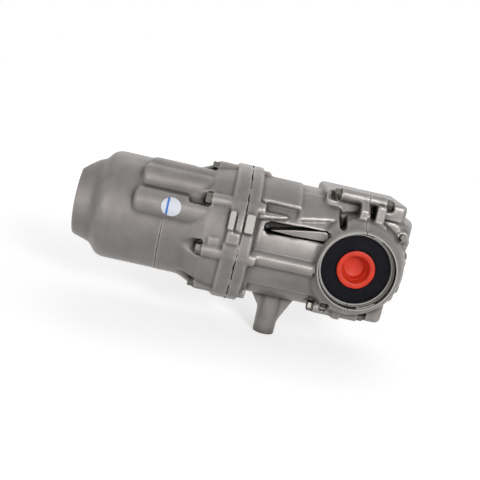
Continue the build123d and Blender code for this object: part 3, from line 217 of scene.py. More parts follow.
def cast_aluminium():
    """Blasted cast skin: matt grey with a fine pitted grain, painted shade darkening its corners and
    creases, its edges lighter as rubbed metal and as painted highlight.
    """
    material = bpy.data.materials.new("cast_aluminium")
    material.use_nodes = True
    tree = material.node_tree
    shader = tree.nodes["Principled BSDF"]
    shader.inputs["Metallic"].default_value = 0.50
    shader.inputs["Specular IOR Level"].default_value = 0.35
    place = tree.nodes.new("ShaderNodeTexCoord")
    patch = tree.nodes.new("ShaderNodeTexNoise")
    patch.inputs["Scale"].default_value = 26
    patch.inputs["Detail"].default_value = 6
    patch.inputs["Roughness"].default_value = 0.65
    tree.links.new(place.outputs["Object"], patch.inputs["Vector"])
    grain = tree.nodes.new("ShaderNodeTexNoise")
    grain.inputs["Scale"].default_value = 1300
    grain.inputs["Detail"].default_value = 4
    tree.links.new(place.outputs["Object"], grain.inputs["Vector"])
    tone = tree.nodes.new("ShaderNodeValToRGB")
    tone.color_ramp.elements[0].position = 0.30
    tone.color_ramp.elements[0].color = (0.178, 0.165, 0.156, 1)
    tone.color_ramp.elements[1].position = 0.72
    tone.color_ramp.elements[1].color = (0.255, 0.238, 0.228, 1)
    tree.links.new(patch.outputs["Fac"], tone.inputs["Fac"])
    # Pointiness makes convex edges lighter, partly as rubbed metal and partly as painted highlight, and
    # makes creases darker as painted shade.
    shape = tree.nodes.new("ShaderNodeNewGeometry")
    edge = tree.nodes.new("ShaderNodeMapRange")
    edge.inputs["From Min"].default_value = 0.465
    edge.inputs["From Max"].default_value = 0.535
    edge.inputs["To Min"].default_value = 0.42
    edge.inputs["To Max"].default_value = 1.58
    tree.links.new(shape.outputs["Pointiness"], edge.inputs["Value"])
    # Ambient occlusion darkens corners, creases and recesses of the colour: this is painted shade.
    hollow = tree.nodes.new("ShaderNodeAmbientOcclusion")
    hollow.samples = 6
    hollow.inputs["Distance"].default_value = 0.015
    painted_corner_shade = tree.nodes.new("ShaderNodeMapRange")
    painted_corner_shade.inputs["From Min"].default_value = 0.36
    painted_corner_shade.inputs["From Max"].default_value = 0.90
    painted_corner_shade.inputs["To Min"].default_value = 0.16
    painted_corner_shade.inputs["To Max"].default_value = 1.0
    tree.links.new(hollow.outputs["AO"], painted_corner_shade.inputs["Value"])
    # Painted edge highlight and painted corner shade are multiplied into one factor, with the rub of the
    # edges.
    painted_light_and_wear = tree.nodes.new("ShaderNodeMath")
    painted_light_and_wear.operation = "MULTIPLY"
    tree.links.new(edge.outputs["Result"], painted_light_and_wear.inputs[0])
    tree.links.new(painted_corner_shade.outputs["Result"], painted_light_and_wear.inputs[1])
    speck = tree.nodes.new("ShaderNodeMapRange")
    speck.inputs["To Min"].default_value = 0.82
    speck.inputs["To Max"].default_value = 1.16
    tree.links.new(grain.outputs["Fac"], speck.inputs["Value"])
    speckled_painted_light_and_wear = tree.nodes.new("ShaderNodeMath")
    speckled_painted_light_and_wear.operation = "MULTIPLY"
    tree.links.new(painted_light_and_wear.outputs[0], speckled_painted_light_and_wear.inputs[0])
    tree.links.new(speck.outputs["Result"], speckled_painted_light_and_wear.inputs[1])
    # The base colour is the grey tone scaled by painted highlight, painted shade and the random grain
    # speckle.
    tone_with_painted_light = tree.nodes.new("ShaderNodeVectorMath")
    tone_with_painted_light.operation = "SCALE"
    tree.links.new(tone.outputs["Color"], tone_with_painted_light.inputs[0])
    tree.links.new(speckled_painted_light_and_wear.outputs[0], tone_with_painted_light.inputs["Scale"])
    tree.links.new(tone_with_painted_light.outputs["Vector"], shader.inputs["Base Color"])
    gloss = tree.nodes.new("ShaderNodeMapRange")
    gloss.inputs["To Min"].default_value = 0.30
    gloss.inputs["To Max"].default_value = 0.46
    tree.links.new(grain.outputs["Fac"], gloss.inputs["Value"])
    tree.links.new(gloss.outputs["Result"], shader.inputs["Roughness"])
    swell = tree.nodes.new("ShaderNodeBump")
    swell.inputs["Strength"].default_value = 0.35
    swell.inputs["Distance"].default_value = 0.0012
    tree.links.new(patch.outputs["Fac"], swell.inputs["Height"])
    pits = tree.nodes.new("ShaderNodeBump")
    pits.inputs["Strength"].default_value = 0.5
    pits.inputs["Distance"].default_value = 0.00025
    tree.links.new(grain.outputs["Fac"], pits.inputs["Height"])
    tree.links.new(swell.outputs["Normal"], pits.inputs["Normal"])
    tree.links.new(pits.outputs["Normal"], shader.inputs["Normal"])
    return material


def machined_aluminium():
    """Bright milled face with fine tool marks."""
    material = bpy.data.materials.new("machined_aluminium")
    material.use_nodes = True
    tree = material.node_tree
    shader = tree.nodes["Principled BSDF"]
    shader.inputs["Metallic"].default_value = 0.6
    place = tree.nodes.new("ShaderNodeTexCoord")
    marks = tree.nodes.new("ShaderNodeTexNoise")
    marks.inputs["Scale"].default_value = 700
    marks.inputs["Detail"].default_value = 3
    tree.links.new(place.outputs["Object"], marks.inputs["Vector"])
    tone = tree.nodes.new("ShaderNodeValToRGB")
    tone.color_ramp.elements[0].color = (0.24, 0.23, 0.216, 1)
    tone.color_ramp.elements[1].color = (0.35, 0.34, 0.318, 1)
    tree.links.new(marks.outputs["Fac"], tone.inputs["Fac"])
    tree.links.new(tone.outputs["Color"], shader.inputs["Base Color"])
    gloss = tree.nodes.new("ShaderNodeMapRange")
    gloss.inputs["To Min"].default_value = 0.42
    gloss.inputs["To Max"].default_value = 0.60
    tree.links.new(marks.outputs["Fac"], gloss.inputs["Value"])
    tree.links.new(gloss.outputs["Result"], shader.inputs["Roughness"])
    bump = tree.nodes.new("ShaderNodeBump")
    bump.inputs["Strength"].default_value = 0.12
    bump.inputs["Distance"].default_value = 0.0002
    tree.links.new(marks.outputs["Fac"], bump.inputs["Height"])
    tree.links.new(bump.outputs["Normal"], shader.inputs["Normal"])
    return material


cast_skin = cast_aluminium()
milled = machined_aluminium()


def deselect():
    """Leaves nothing selected, so that the next operator acts on its own piece only."""
    if bpy.context.object and bpy.context.object.mode != "OBJECT":
        bpy.ops.object.mode_set(mode="OBJECT")
    bpy.ops.object.select_all(action="DESELECT")


def take_up(piece):
    """Makes one piece the selected and active one."""
    deselect()
    piece.select_set(True)
    bpy.context.view_layer.objects.active = piece


def round_off(piece, grain):
    """Rounds a piece's edges as a sand mould does, over about the size of a grain."""
    take_up(piece)
    mould = piece.modifiers.new("mould", "REMESH")
    mould.mode = "VOXEL"
    mould.voxel_size = grain
    bpy.ops.object.modifier_apply(modifier="mould")
    soften = piece.modifiers.new("soften", "SMOOTH")
    soften.factor = 0.5
    soften.iterations = 3
    bpy.ops.object.modifier_apply(modifier="soften")


def pour(node, name, stock):
    """Raw casting from a CAD node: stock is a list of (test, move) for the faces to be machined."""
    piece = bpy.data.objects.new(name, nodes[node].data.copy())
    bpy.context.scene.collection.objects.link(piece)
    take_up(piece)
    bpy.ops.object.mode_set(mode="EDIT")
    bpy.ops.mesh.select_all(action="SELECT")
    bpy.ops.mesh.remove_doubles(threshold=0.00001)
    bpy.ops.object.mode_set(mode="OBJECT")
    for vertex in piece.data.vertices:
        for test, move in stock:
            if test(vertex.co):
                vertex.co = move(vertex.co)
    round_off(piece, cast_grain)
    piece.data.materials.clear()
    piece.data.materials.append(cast_skin)
    piece.data.materials.append(milled)
    return piece


def cutter_block(low, high, surface=milled):
    """Milling cut that clears a box between two corners."""
    deselect()
    middle = [(a + b) / 2 for a, b in zip(low, high)]
    bpy.ops.mesh.primitive_cube_add(size=1, location=middle)
    tool = bpy.context.object
    tool.scale = [b - a for a, b in zip(low, high)]
    bpy.ops.object.transform_apply(location=True, rotation=True, scale=True)
    tool.data.materials.append(surface)
    return tool


def cutter_drill(start, end, radius, sides=96, surface=milled):
    """Boring or spot-facing cut along the line between two points."""
    deselect()
    start, end = Vector(start), Vector(end)
    bpy.ops.mesh.primitive_cylinder_add(vertices=sides, radius=radius, depth=(end - start).length,
                                        location=(start + end) / 2)
    tool = bpy.context.object
    tool.rotation_euler = (end - start).to_track_quat("Z", "Y").to_euler()
    bpy.ops.object.transform_apply(location=True, rotation=True, scale=True)
    tool.data.materials.append(surface)
    return tool


def joined(pieces):
    """One object from several that don't touch."""
    deselect()
    for piece in pieces:
        piece.select_set(True)
    bpy.context.view_layer.objects.active = pieces[0]
    bpy.ops.object.join()
    return pieces[0]


def machine(casting, cuts):
    """Cuts groups of tools into a casting, each with the finish that its cutter leaves."""
    for tools in cuts:
        tool = joined(tools)
        take_up(casting)
        cut = casting.modifiers.new("cut", "BOOLEAN")
        cut.operation = "DIFFERENCE"
        cut.solver = "EXACT"
        cut.material_mode = "TRANSFER"
        cut.object = tool
        bpy.ops.object.modifier_apply(modifier="cut")
        bpy.data.objects.remove(tool)


def ride_housing(piece, slot, *replaced):
    """Fixes a finished piece to the housing, and lets it stand for its CAD nodes."""
    take_up(piece)
    bpy.ops.object.shade_smooth_by_angle(angle=math.radians(38))
    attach(piece, "housing")
    if replaced:
        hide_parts(*replaced)


def turned(name, profile, axis, steps=96):
    """Piece turned on a lathe: (place along the axis, radius) points, spun about the X or Y axis."""
    deselect()
    bpy.ops.mesh.primitive_circle_add(vertices=len(profile), radius=0.01)
    piece = bpy.context.object
    piece.name = name
    for vertex, (along, radius) in zip(piece.data.vertices, profile):
        vertex.co = (along, 0, radius) if axis == "X" else (radius, along, 0)
    bpy.ops.object.mode_set(mode="EDIT")
    bpy.ops.mesh.select_all(action="SELECT")
    bpy.ops.mesh.spin(steps=steps, angle=2 * math.pi, center=(0, 0, 0),
                      axis=(1, 0, 0) if axis == "X" else (0, 1, 0))
    bpy.ops.mesh.select_all(action="SELECT")
    bpy.ops.mesh.remove_doubles(threshold=0.000002)
    bpy.ops.mesh.normals_make_consistent(inside=False)
    bpy.ops.object.mode_set(mode="OBJECT")
    return piece


def keep_half(piece, normal, point=(0, 0, 0)):
    """Cuts a piece along a plane and keeps the side that the normal points away from."""
    take_up(piece)
    bpy.ops.object.mode_set(mode="EDIT")
    bpy.ops.mesh.select_all(action="SELECT")
    bpy.ops.mesh.bisect(plane_co=point, plane_no=normal, use_fill=True, clear_outer=True)
    bpy.ops.mesh.select_all(action="SELECT")
    bpy.ops.mesh.normals_make_consistent(inside=False)
    bpy.ops.object.mode_set(mode="OBJECT")


# Front case
# The coupling's housing in cast aluminium: a round barrel with two swellings and a fine seam below,
# a nose with a machined face and a flange with eight bosses, spot-faced for the bolts that hold it.
joint_x = -0.139
nose_x = -0.338
boss_x = -0.180
boss_circle_r = 0.076
boss_first_angle = 79
boss_step_angle = 45
boss_count = 8
bolt_places = []
for i in range(boss_count):
    boss_angle = math.radians(boss_first_angle - boss_step_angle * i)
    bolt_places.append((-boss_circle_r * math.cos(boss_angle), boss_circle_r * math.sin(boss_angle)))
lug_turn = Matrix.Rotation(math.radians(-17.8), 4, "X")
lug_end_y = -0.0888
lug_face_y = -0.0889
barrel_ends = (-0.330, -0.188)
barrel_blend = 14
seam_x = (-0.2314, -0.2306)
seam_r = (0.0649, 0.0690)
seam_top_z = 0.004
seal_bore_r = 0.02802
seal_bore_end_x = -0.329


def at_bolt_boss(point):
    """True on the front face of a bolt boss."""
    return abs(point.x - boss_x) < 0.0001 and any(
        math.hypot(point.y - y, point.z - z) < 0.0085 for y, z in bolt_places)


def lug_cutter(x0, x1):
    """Milling cut over the slanted ends of the lugs."""
    tool = cutter_block((x0, -0.094, -0.014), (x1, lug_end_y, 0.014))
    tool.data.transform(lug_turn)
    return tool


def at_lug_end(point):
    """True on the outer end of a lug."""
    return (lug_turn.inverted() @ point).y < lug_face_y


grow = lug_turn @ Vector((0, -machining_stock, 0))
front_case = pour("front_case", "front_case_casting", [
    (lambda p: p.x > joint_x - 0.0001, lambda p: p + Vector((machining_stock, 0, 0))),
    (lambda p: p.x < nose_x + 0.0001, lambda p: p - Vector((machining_stock, 0, 0))),
    (at_bolt_boss, lambda p: p - Vector((machining_stock, 0, 0))),
    (at_lug_end, lambda p: p + grow),
])
on_barrel = [v.index for v in front_case.data.vertices if barrel_ends[0] < v.co.x < barrel_ends[1]]
barrel = front_case.vertex_groups.new(name="barrel")
barrel.add(on_barrel, 1.0, "REPLACE")
take_up(front_case)
blend = front_case.modifiers.new("blend", "SMOOTH")
blend.vertex_group = "barrel"
blend.factor = 0.5
blend.iterations = barrel_blend
bpy.ops.object.modifier_apply(modifier="blend")
front_case.vertex_groups.clear()

seam_section = [(seam_x[0], seam_r[0]), (seam_x[1], seam_r[0]),
                (seam_x[1], seam_r[1]), (seam_x[0], seam_r[1])]
seam = turned("seam", seam_section, "X", 180)
keep_half(seam, (0, 0, 1), (0, 0, seam_top_z))
seam.data.materials.append(cast_skin)
machine(front_case, [
    [cutter_block((joint_x, -0.1, -0.1), (joint_x + 0.01, 0.1, 0.1)),
     cutter_block((nose_x - 0.01, -0.06, -0.06), (nose_x, 0.06, 0.06)), lug_cutter(-0.16, -0.145)],
    [cutter_drill((boss_x - 0.005, y, z), (boss_x, y, z), 0.0092, 48) for y, z in bolt_places]
    + [cutter_drill((nose_x - 0.001, 0, 0), (seal_bore_end_x, 0, 0), seal_bore_r)],
    [seam],
])
ride_housing(front_case, "cast_aluminium", "front_case")


# Carrier case
# The pinion's case and the front half of the gear chamber, in cast aluminium, with ribs, panels and
# a pocket in its left wall, and a round leg with a threaded hole below.
head_x = -0.0345
cover_places = [(-0.046, 0.0795), (0.046, 0.071), (-0.046, -0.061), (0.046, -0.071)]
parting_gap = 0.00025
rim_seat_y = 0.0745
rim_seat_r = 0.0480
leg_x = -0.0803
leg_foot_z = -0.119
leg_bore_r = 0.0053
leg_bore_end_z = -0.094
pocket_low = (-0.106, -0.080, 0.0199)
pocket_high = (-0.0385, -0.0485, 0.0331)
pocket_middle = Matrix.Translation((-0.076, 0, 0.0265))
pocket_turn = Matrix.Rotation(math.radians(-2.6), 4, "Y")


def output_counterbores():
    """Boring cuts that make room for the turned rims of both outputs."""
    return [cutter_drill((0, side * rim_seat_y, 0), (0, side * 0.092, 0), rim_seat_r, 144)
            for side in (-1, 1)]


carrier = pour("carrier_case", "carrier_casting", [
    (lambda p: p.x < joint_x + 0.0001, lambda p: p - Vector((machining_stock, 0, 0))),
    (lambda p: p.x > -0.0001, lambda p: p + Vector((machining_stock, 0, 0))),
    (lambda p: p.z < leg_foot_z + 0.0001, lambda p: p - Vector((0, 0, machining_stock))),
    (at_lug_end, lambda p: p + grow),
])
pocket_tool = cutter_block(pocket_low, pocket_high, cast_skin)
pocket_tool.data.transform(pocket_middle @ pocket_turn @ pocket_middle.inverted())
machine(carrier, [
    [pocket_tool],
    [cutter_block((joint_x - 0.01, -0.1, -0.1), (joint_x, 0.1, 0.1)),
     cutter_block((-parting_gap, -0.1, -0.1), (0.01, 0.1, 0.1)), lug_cutter(-0.1385, -0.120),
     cutter_block((leg_x - 0.02, -0.02, leg_foot_z - 0.01), (leg_x + 0.02, 0.02, leg_foot_z))],
    output_counterbores()
    + [cutter_drill((head_x - 0.012, y, z), (head_x, y, z), 0.0088, 48) for y, z in cover_places]
    + [cutter_drill((leg_x, 0, leg_foot_z - 0.001), (leg_x, 0, leg_bore_end_z), leg_bore_r, 48)],
])
ride_housing(carrier, "cast_aluminium", "carrier_case")


# Web in the pocket
# A tapered web of the same aluminium that stiffens the left wall of the carrier case. It is cast
# with the wall and stands in the pocket, its edges rounded by the mould.
web_outline = [(-0.1072, 0.0227), (-0.0810, 0.0284), (-0.0587, 0.0320), (-0.0440, 0.0341),
               (-0.0400, 0.0322), (-0.0390, 0.0262), (-0.0433, 0.0233), (-0.0798, 0.0216)]
web_root_y = -0.0465
web_face_y = -0.0692
web_grain = 0.0006

deselect()
bpy.ops.mesh.primitive_circle_add(vertices=len(web_outline), radius=0.01, fill_type="NGON")
web = bpy.context.object
web.name = "pocket_web"
for vertex, (x, z) in zip(web.data.vertices, web_outline):
    vertex.co = (x, web_root_y, z)
bpy.ops.object.mode_set(mode="EDIT")
bpy.ops.mesh.select_all(action="SELECT")
bpy.ops.mesh.extrude_region_move(TRANSFORM_OT_translate={"value": (0, web_face_y - web_root_y, 0)})
bpy.ops.mesh.select_all(action="SELECT")
bpy.ops.mesh.normals_make_consistent(inside=False)
bpy.ops.object.mode_set(mode="OBJECT")
round_off(web, web_grain)
web.data.materials.append(cast_skin)
ride_housing(web, "cast_aluminium")


# Rear cover
# The other half of the gear chamber, cast in aluminium and ribbed, with bosses for the fill, drain
# and vent plugs. Four long bolts with nuts hold it to the carrier case.
nut_x = 0.0215
plug_seat_x = 0.0695
plug_bosses = [(0.004, 0.008), (0.004, -0.022)]
cover = pour("rear_cover", "rear_cover_casting", [
    (lambda p: p.x < 0.0001, lambda p: p - Vector((machining_stock, 0, 0))),
])
machine(cover, [
    [cutter_block((-0.01, -0.1, -0.1), (parting_gap, 0.1, 0.1))],
    output_counterbores()
    + [cutter_drill((nut_x, y, z), (nut_x + 0.008, y, z), 0.0085, 48) for y, z in cover_places]
    + [cutter_drill((plug_seat_x, y, z), (0.079, y, z), 0.0135) for y, z in plug_bosses],
])
ride_housing(cover, "cast_aluminium", "rear_cover")


# Output rims
# The thin outer rim and the lower tube round each seal, turned on the castings once they are bolted
# together, so each rim is cut in two at the joint. A groove and, at the rear, a gutter part them.
rim_section = [(0.0692, 0.0409), (0.0722, 0.0409), (0.0724, 0.0427), (0.0782, 0.0427), (0.0785, 0.0429),
               (0.0785, 0.0434), (0.0782, 0.0436), (0.0830, 0.0436), (0.0830, 0.0449), (0.0857, 0.0449),
               (0.0860, 0.0452), (0.0860, 0.0463), (0.0857, 0.0466), (0.0776, 0.0476), (0.0765, 0.0481),
               (0.0692, 0.0481)]
rim_gap = 0.0004
groove_low = 0.0765
gutter_low = 0.0695
groove_end_x = 0.010
gutter_top_z = 0.0395
gutter_bottom_z = -0.033


def ring_tool(side, floor, limits):
    """Grooving tool between rim and tube, kept on the near side of each (point, normal) limit."""
    tool = turned("groove", [(side * floor, 0.0436), (side * floor, 0.0449), (side * 0.0875, 0.0449),
                             (side * 0.0875, 0.0436)], "Y", 144)
    for point, normal in limits:
        keep_half(tool, normal, point)
    tool.data.materials.append(cast_skin)
    return tool


for side, hand in ((-1, "left"), (1, "right")):
    for half, where in ((1, "front"), (-1, "rear")):
        rim = turned(hand + "_" + where + "_output_rim", [(side * y, r) for y, r in rim_section], "Y", 144)
        keep_half(rim, (half, 0, 0), (-half * rim_gap, 0, 0))
        rim.data.materials.append(milled)
        machine(rim, [[ring_tool(side, groove_low, [((groove_end_x, 0, 0), (1, 0, 0))])]])
        if where == "rear":
            machine(rim, [[ring_tool(side, gutter_low, [
                ((groove_end_x + 0.001, 0, 0), (-1, 0, 0)), ((0, 0, gutter_top_z), (0, 0, 1)),
                ((0, 0, gutter_bottom_z), (0, 0, -1))])]])
        ride_housing(rim, "cast_aluminium")


# Sealant of the flange joint
# A thin bead of black sealant that was pressed out unevenly between the two flanges.
rubber = bpy.data.materials.new("black_rubber")
rubber.use_nodes = True
rubber_tree = rubber.node_tree
rubber_shader = rubber_tree.nodes["Principled BSDF"]
rubber_place = rubber_tree.nodes.new("ShaderNodeTexCoord")
rubber_cloud = rubber_tree.nodes.new("ShaderNodeTexNoise")
rubber_cloud.inputs["Scale"].default_value = 160
rubber_cloud.inputs["Detail"].default_value = 6
rubber_tree.links.new(rubber_place.outputs["Object"], rubber_cloud.inputs["Vector"])
rubber_tone = rubber_tree.nodes.new("ShaderNodeValToRGB")
rubber_tone.color_ramp.elements[0].position = 0.35
rubber_tone.color_ramp.elements[0].color = (0.003, 0.003, 0.005, 1)
rubber_tone.color_ramp.elements[1].position = 0.75
rubber_tone.color_ramp.elements[1].color = (0.008, 0.008, 0.011, 1)
rubber_tree.links.new(rubber_cloud.outputs["Fac"], rubber_tone.inputs["Fac"])
rubber_tree.links.new(rubber_tone.outputs["Color"], rubber_shader.inputs["Base Color"])
rubber_gloss = rubber_tree.nodes.new("ShaderNodeMapRange")
rubber_gloss.inputs["To Min"].default_value = 0.48
rubber_gloss.inputs["To Max"].default_value = 0.66
rubber_tree.links.new(rubber_cloud.outputs["Fac"], rubber_gloss.inputs["Value"])
rubber_tree.links.new(rubber_gloss.outputs["Result"], rubber_shader.inputs["Roughness"])
rubber_shader.inputs["Specular IOR Level"].default_value = 0.08
rubber_grain = rubber_tree.nodes.new("ShaderNodeTexNoise")
rubber_grain.inputs["Scale"].default_value = 2200
rubber_tree.links.new(rubber_place.outputs["Object"], rubber_grain.inputs["Vector"])
rubber_bump = rubber_tree.nodes.new("ShaderNodeBump")
rubber_bump.inputs["Strength"].default_value = 0.25
rubber_bump.inputs["Distance"].default_value = 0.0001
rubber_tree.links.new(rubber_grain.outputs["Fac"], rubber_bump.inputs["Height"])
rubber_tree.links.new(rubber_bump.outputs["Normal"], rubber_shader.inputs["Normal"])

bead_r = 0.0834
bead_thickness = 0.0006
bead_section = [(bead_thickness * math.cos(math.radians(45 * i)),
                 bead_r + bead_thickness * math.sin(math.radians(45 * i))) for i in range(8)]
bead = turned("flange_sealant", bead_section, "X", 320)
for vertex in bead.data.vertices:
    turn = math.atan2(vertex.co.z, vertex.co.y)
    reach = math.hypot(vertex.co.y, vertex.co.z)
    squeeze = (0.00045 * math.sin(13 * turn) + 0.00030 * math.sin(31 * turn + 1.0)
               + 0.00015 * math.sin(67 * turn))
    drift = 0.00035 * math.sin(17 * turn + 2.0) + 0.00030 * math.sin(43 * turn)
    vertex.co = (vertex.co.x + joint_x + drift, vertex.co.y * (reach + squeeze) / reach,
                 vertex.co.z * (reach + squeeze) / reach)
bead.data.materials.append(rubber)
ride_housing(bead, "black_rubber")


# Bolts, nuts and plugs of the housing
# Zinc-plated steel flange bolts with chamfered hexagon heads, and nuts on the four long bolts of
# the rear cover. One bolt of each kind is made and copied to its places.
plated_steel = oiled_steel("plated_steel", (0.17, 0.16, 0.145), 0.36, 1100)
shank_radius = 0.00398
thread_pitch = 0.00125
thread_depth = 0.0005
cover_flats = 0.011
cover_head_h = 0.007
head_step_angle = 23


def hexagon(name, flats, low, high, chamfer_low):
    """Hexagon bar between two heights with its corners turned off at the ends."""
    deselect()
    bpy.ops.mesh.primitive_cylinder_add(vertices=6, radius=flats / math.sqrt(3), depth=high - low,
                                        location=(0, 0, (low + high) / 2))
    piece = bpy.context.object
    piece.name = name
    bpy.ops.object.transform_apply(location=True, rotation=True, scale=True)
    corner = flats / math.sqrt(3) + 0.0001
    drop = 0.0011
    bottom = [(low, corner)]
    if chamfer_low:
        bottom = [(low, corner - 0.0012), (low + drop * 0.6, corner)]
    top = [(high - drop, corner), (high, corner - 0.0019), (high, 0.0)]
    turning = turned("turning", [(low, 0.0)] + bottom + top, "X", 64)
    turning.data.transform(Matrix.Rotation(math.radians(-90), 4, "Y"))
    take_up(piece)
    cut = piece.modifiers.new("turn", "BOOLEAN")
    cut.operation = "INTERSECT"
    cut.solver = "EXACT"
    cut.object = turning
    bpy.ops.object.modifier_apply(modifier="turn")
    bpy.data.objects.remove(turning)
    return piece


def flange_bolt(name, shank_r, shank_l, flange_r, flats, height, thread_l):
    """Flange bolt pointing down, its seat at the origin, with turned thread ridges at its end."""
    flange_t = height * 0.3
    head = hexagon(name, flats, flange_t * 0.8, height, False)
    profile = [(flange_t, 0.0), (flange_t, flats / 2), (flange_t * 0.55, flange_r - 0.0002),
               (0.0003, flange_r), (0.0, flange_r - 0.0003), (0.0, shank_r)]
    for i in range(int(thread_l / thread_pitch)):
        start = -(shank_l - thread_l) - i * thread_pitch
        profile += [(start, shank_r), (start - 0.0006, shank_r - thread_depth)]
    profile += [(-shank_l + 0.0006, shank_r), (-shank_l, shank_r - 0.0006), (-shank_l, 0.0)]
    body = turned("bolt_body", profile, "X", 48)
    body.data.transform(Matrix.Rotation(math.radians(-90), 4, "Y"))
    return joined([head, body])


def set_out(master, name, places):
    """Copies a master to its places, each a matrix, and joins the copies into one piece."""
    copies = []
    for i, place in enumerate(places):
        copy = bpy.data.objects.new(name if i == 0 else name + "_copy", master.data.copy())
        bpy.context.scene.collection.objects.link(copy)
        copy.data.transform(place @ Matrix.Rotation(math.radians(head_step_angle * i), 4, "Z"))
        copies.append(copy)
    bpy.data.objects.remove(master)
    return joined(copies)


forward = Matrix.Rotation(math.radians(-90), 4, "Y")
backward = Matrix.Rotation(math.radians(90), 4, "Y")

case_bolts = set_out(flange_bolt("case_bolt", shank_radius, 0.059, 0.0074, 0.012, 0.008, 0.0),
                     "front_case_bolts_turned",
                     [Matrix.Translation((boss_x, y, z)) @ forward for y, z in bolt_places])
case_bolts.data.materials.append(plated_steel)
ride_housing(case_bolts, "bolt_steel", "front_case_bolts")

long_bolts = set_out(flange_bolt("cover_bolt", shank_radius, 0.065, 0.0070, cover_flats, cover_head_h,
                                 0.010), "cover_bolts_turned",
                     [Matrix.Translation((head_x, y, z)) @ forward for y, z in cover_places])
long_bolts.data.materials.append(plated_steel)
ride_housing(long_bolts, "bolt_steel", "cover_bolts")

nut = hexagon("cover_nut", cover_flats, 0.0, cover_head_h, True)
nut_bore = cutter_drill((0, 0, -0.001), (0, 0, 0.008), 0.00405, 48, plated_steel)
nut.data.materials.append(plated_steel)
machine(nut, [[nut_bore]])
nuts = set_out(nut, "cover_nuts_turned",
               [Matrix.Translation((nut_x, y, z)) @ backward for y, z in cover_places])
ride_housing(nuts, "bolt_steel", "cover_nuts")
finish(["fill_plug", "drain_plug", "vent_plug"], plated_steel)


# Seals of the outputs and the input
# Steel rings covered in black rubber, with a raised land at the lip, pressed into their bores.
seal_section = [(0.0670, 0.0201), (0.0670, 0.0408), (0.0727, 0.0408), (0.0727, 0.0425),
                (0.0733, 0.0425), (0.0736, 0.0421), (0.0736, 0.0385), (0.0726, 0.0380),
                (0.0726, 0.0262), (0.0730, 0.0257), (0.0730, 0.0240), (0.0723, 0.0232),
                (0.0723, 0.0214), (0.0714, 0.0201)]
nose_seal_section = [(-0.3290, 0.0179), (-0.3290, 0.0279), (-0.3362, 0.0280), (-0.3370, 0.0274),
                     (-0.3370, 0.0256), (-0.3360, 0.0250), (-0.3360, 0.0206), (-0.3368, 0.0200),
                     (-0.3368, 0.0188), (-0.3352, 0.0180)]
for side, hand in ((-1, "left"), (1, "right")):
    seal = turned(hand + "_output_seal_ring", [(side * y, r) for y, r in seal_section], "Y", 128)
    seal.data.materials.append(rubber)
    ride_housing(seal, "black_rubber", hand + "_output_seal")

nose_seal = turned("input_seal_ring", nose_seal_section, "X", 128)
nose_seal.data.materials.append(rubber)
ride_housing(nose_seal, "black_rubber", "input_seal")


# Transport plugs
# Orange plastic cups, injection-moulded, that close the outputs until the halfshafts go in. Each
# rides out along its output.
plastic = bpy.data.materials.new("orange_plastic")
plastic.use_nodes = True
plastic_tree = plastic.node_tree
plastic_shader = plastic_tree.nodes["Principled BSDF"]
plastic_shader.inputs["Specular IOR Level"].default_value = 0.28
plastic_place = plastic_tree.nodes.new("ShaderNodeTexCoord")
plastic_flow = plastic_tree.nodes.new("ShaderNodeTexNoise")
plastic_flow.inputs["Scale"].default_value = 90
plastic_flow.inputs["Detail"].default_value = 4
plastic_tree.links.new(plastic_place.outputs["Object"], plastic_flow.inputs["Vector"])
plastic_tone = plastic_tree.nodes.new("ShaderNodeValToRGB")
plastic_tone.color_ramp.elements[0].position = 0.30
plastic_tone.color_ramp.elements[0].color = (0.50, 0.026, 0.010, 1)
plastic_tone.color_ramp.elements[1].position = 0.70
plastic_tone.color_ramp.elements[1].color = (0.62, 0.040, 0.014, 1)
plastic_tree.links.new(plastic_flow.outputs["Fac"], plastic_tone.inputs["Fac"])
plastic_tree.links.new(plastic_tone.outputs["Color"], plastic_shader.inputs["Base Color"])
plastic_gloss = plastic_tree.nodes.new("ShaderNodeMapRange")
plastic_gloss.inputs["To Min"].default_value = 0.36
plastic_gloss.inputs["To Max"].default_value = 0.50
plastic_tree.links.new(plastic_flow.outputs["Fac"], plastic_gloss.inputs["Value"])
plastic_tree.links.new(plastic_gloss.outputs["Result"], plastic_shader.inputs["Roughness"])
plastic_grain = plastic_tree.nodes.new("ShaderNodeTexNoise")
plastic_grain.inputs["Scale"].default_value = 1500
plastic_tree.links.new(plastic_place.outputs["Object"], plastic_grain.inputs["Vector"])
plastic_bump = plastic_tree.nodes.new("ShaderNodeBump")
plastic_bump.inputs["Strength"].default_value = 0.12
plastic_bump.inputs["Distance"].default_value = 0.0001
plastic_tree.links.new(plastic_grain.outputs["Fac"], plastic_bump.inputs["Height"])
plastic_tree.links.new(plastic_bump.outputs["Normal"], plastic_shader.inputs["Normal"])

plug_section = [(0.0560, 0.0), (0.0560, 0.0132), (0.0565, 0.0137), (0.0635, 0.0138),
                (0.0670, 0.0196), (0.0728, 0.0197), (0.0731, 0.0220), (0.0735, 0.0224),
                (0.0753, 0.0224), (0.0758, 0.0220), (0.0760, 0.0212), (0.0760, 0.0175),
                (0.0757, 0.0167), (0.0750, 0.0163), (0.0668, 0.0141), (0.0662, 0.0133),
                (0.0592, 0.0119), (0.0586, 0.0115), (0.0583, 0.0108), (0.0582, 0.0)]
for side, hand in ((-1, "left"), (1, "right")):
    plug = turned(hand + "_plug_cup", [(side * y, r) for y, r in plug_section], "Y", 96)
    plug.data.materials.append(plastic)
    take_up(plug)
    bpy.ops.object.shade_smooth_by_angle(angle=math.radians(32))
    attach(plug, hand + "_plug")
    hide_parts(hand + "_transport_plug")


# Round sticker
# A bare white paper disc with a plain blue band, stuck on the lower swelling of the front case.
sticker_x = -0.2242
sticker_r = 0.0115
swelling_y = -0.05543
swelling_z = 0.02296
swelling_r = 0.0169
sticker_turn = math.radians(5.5)

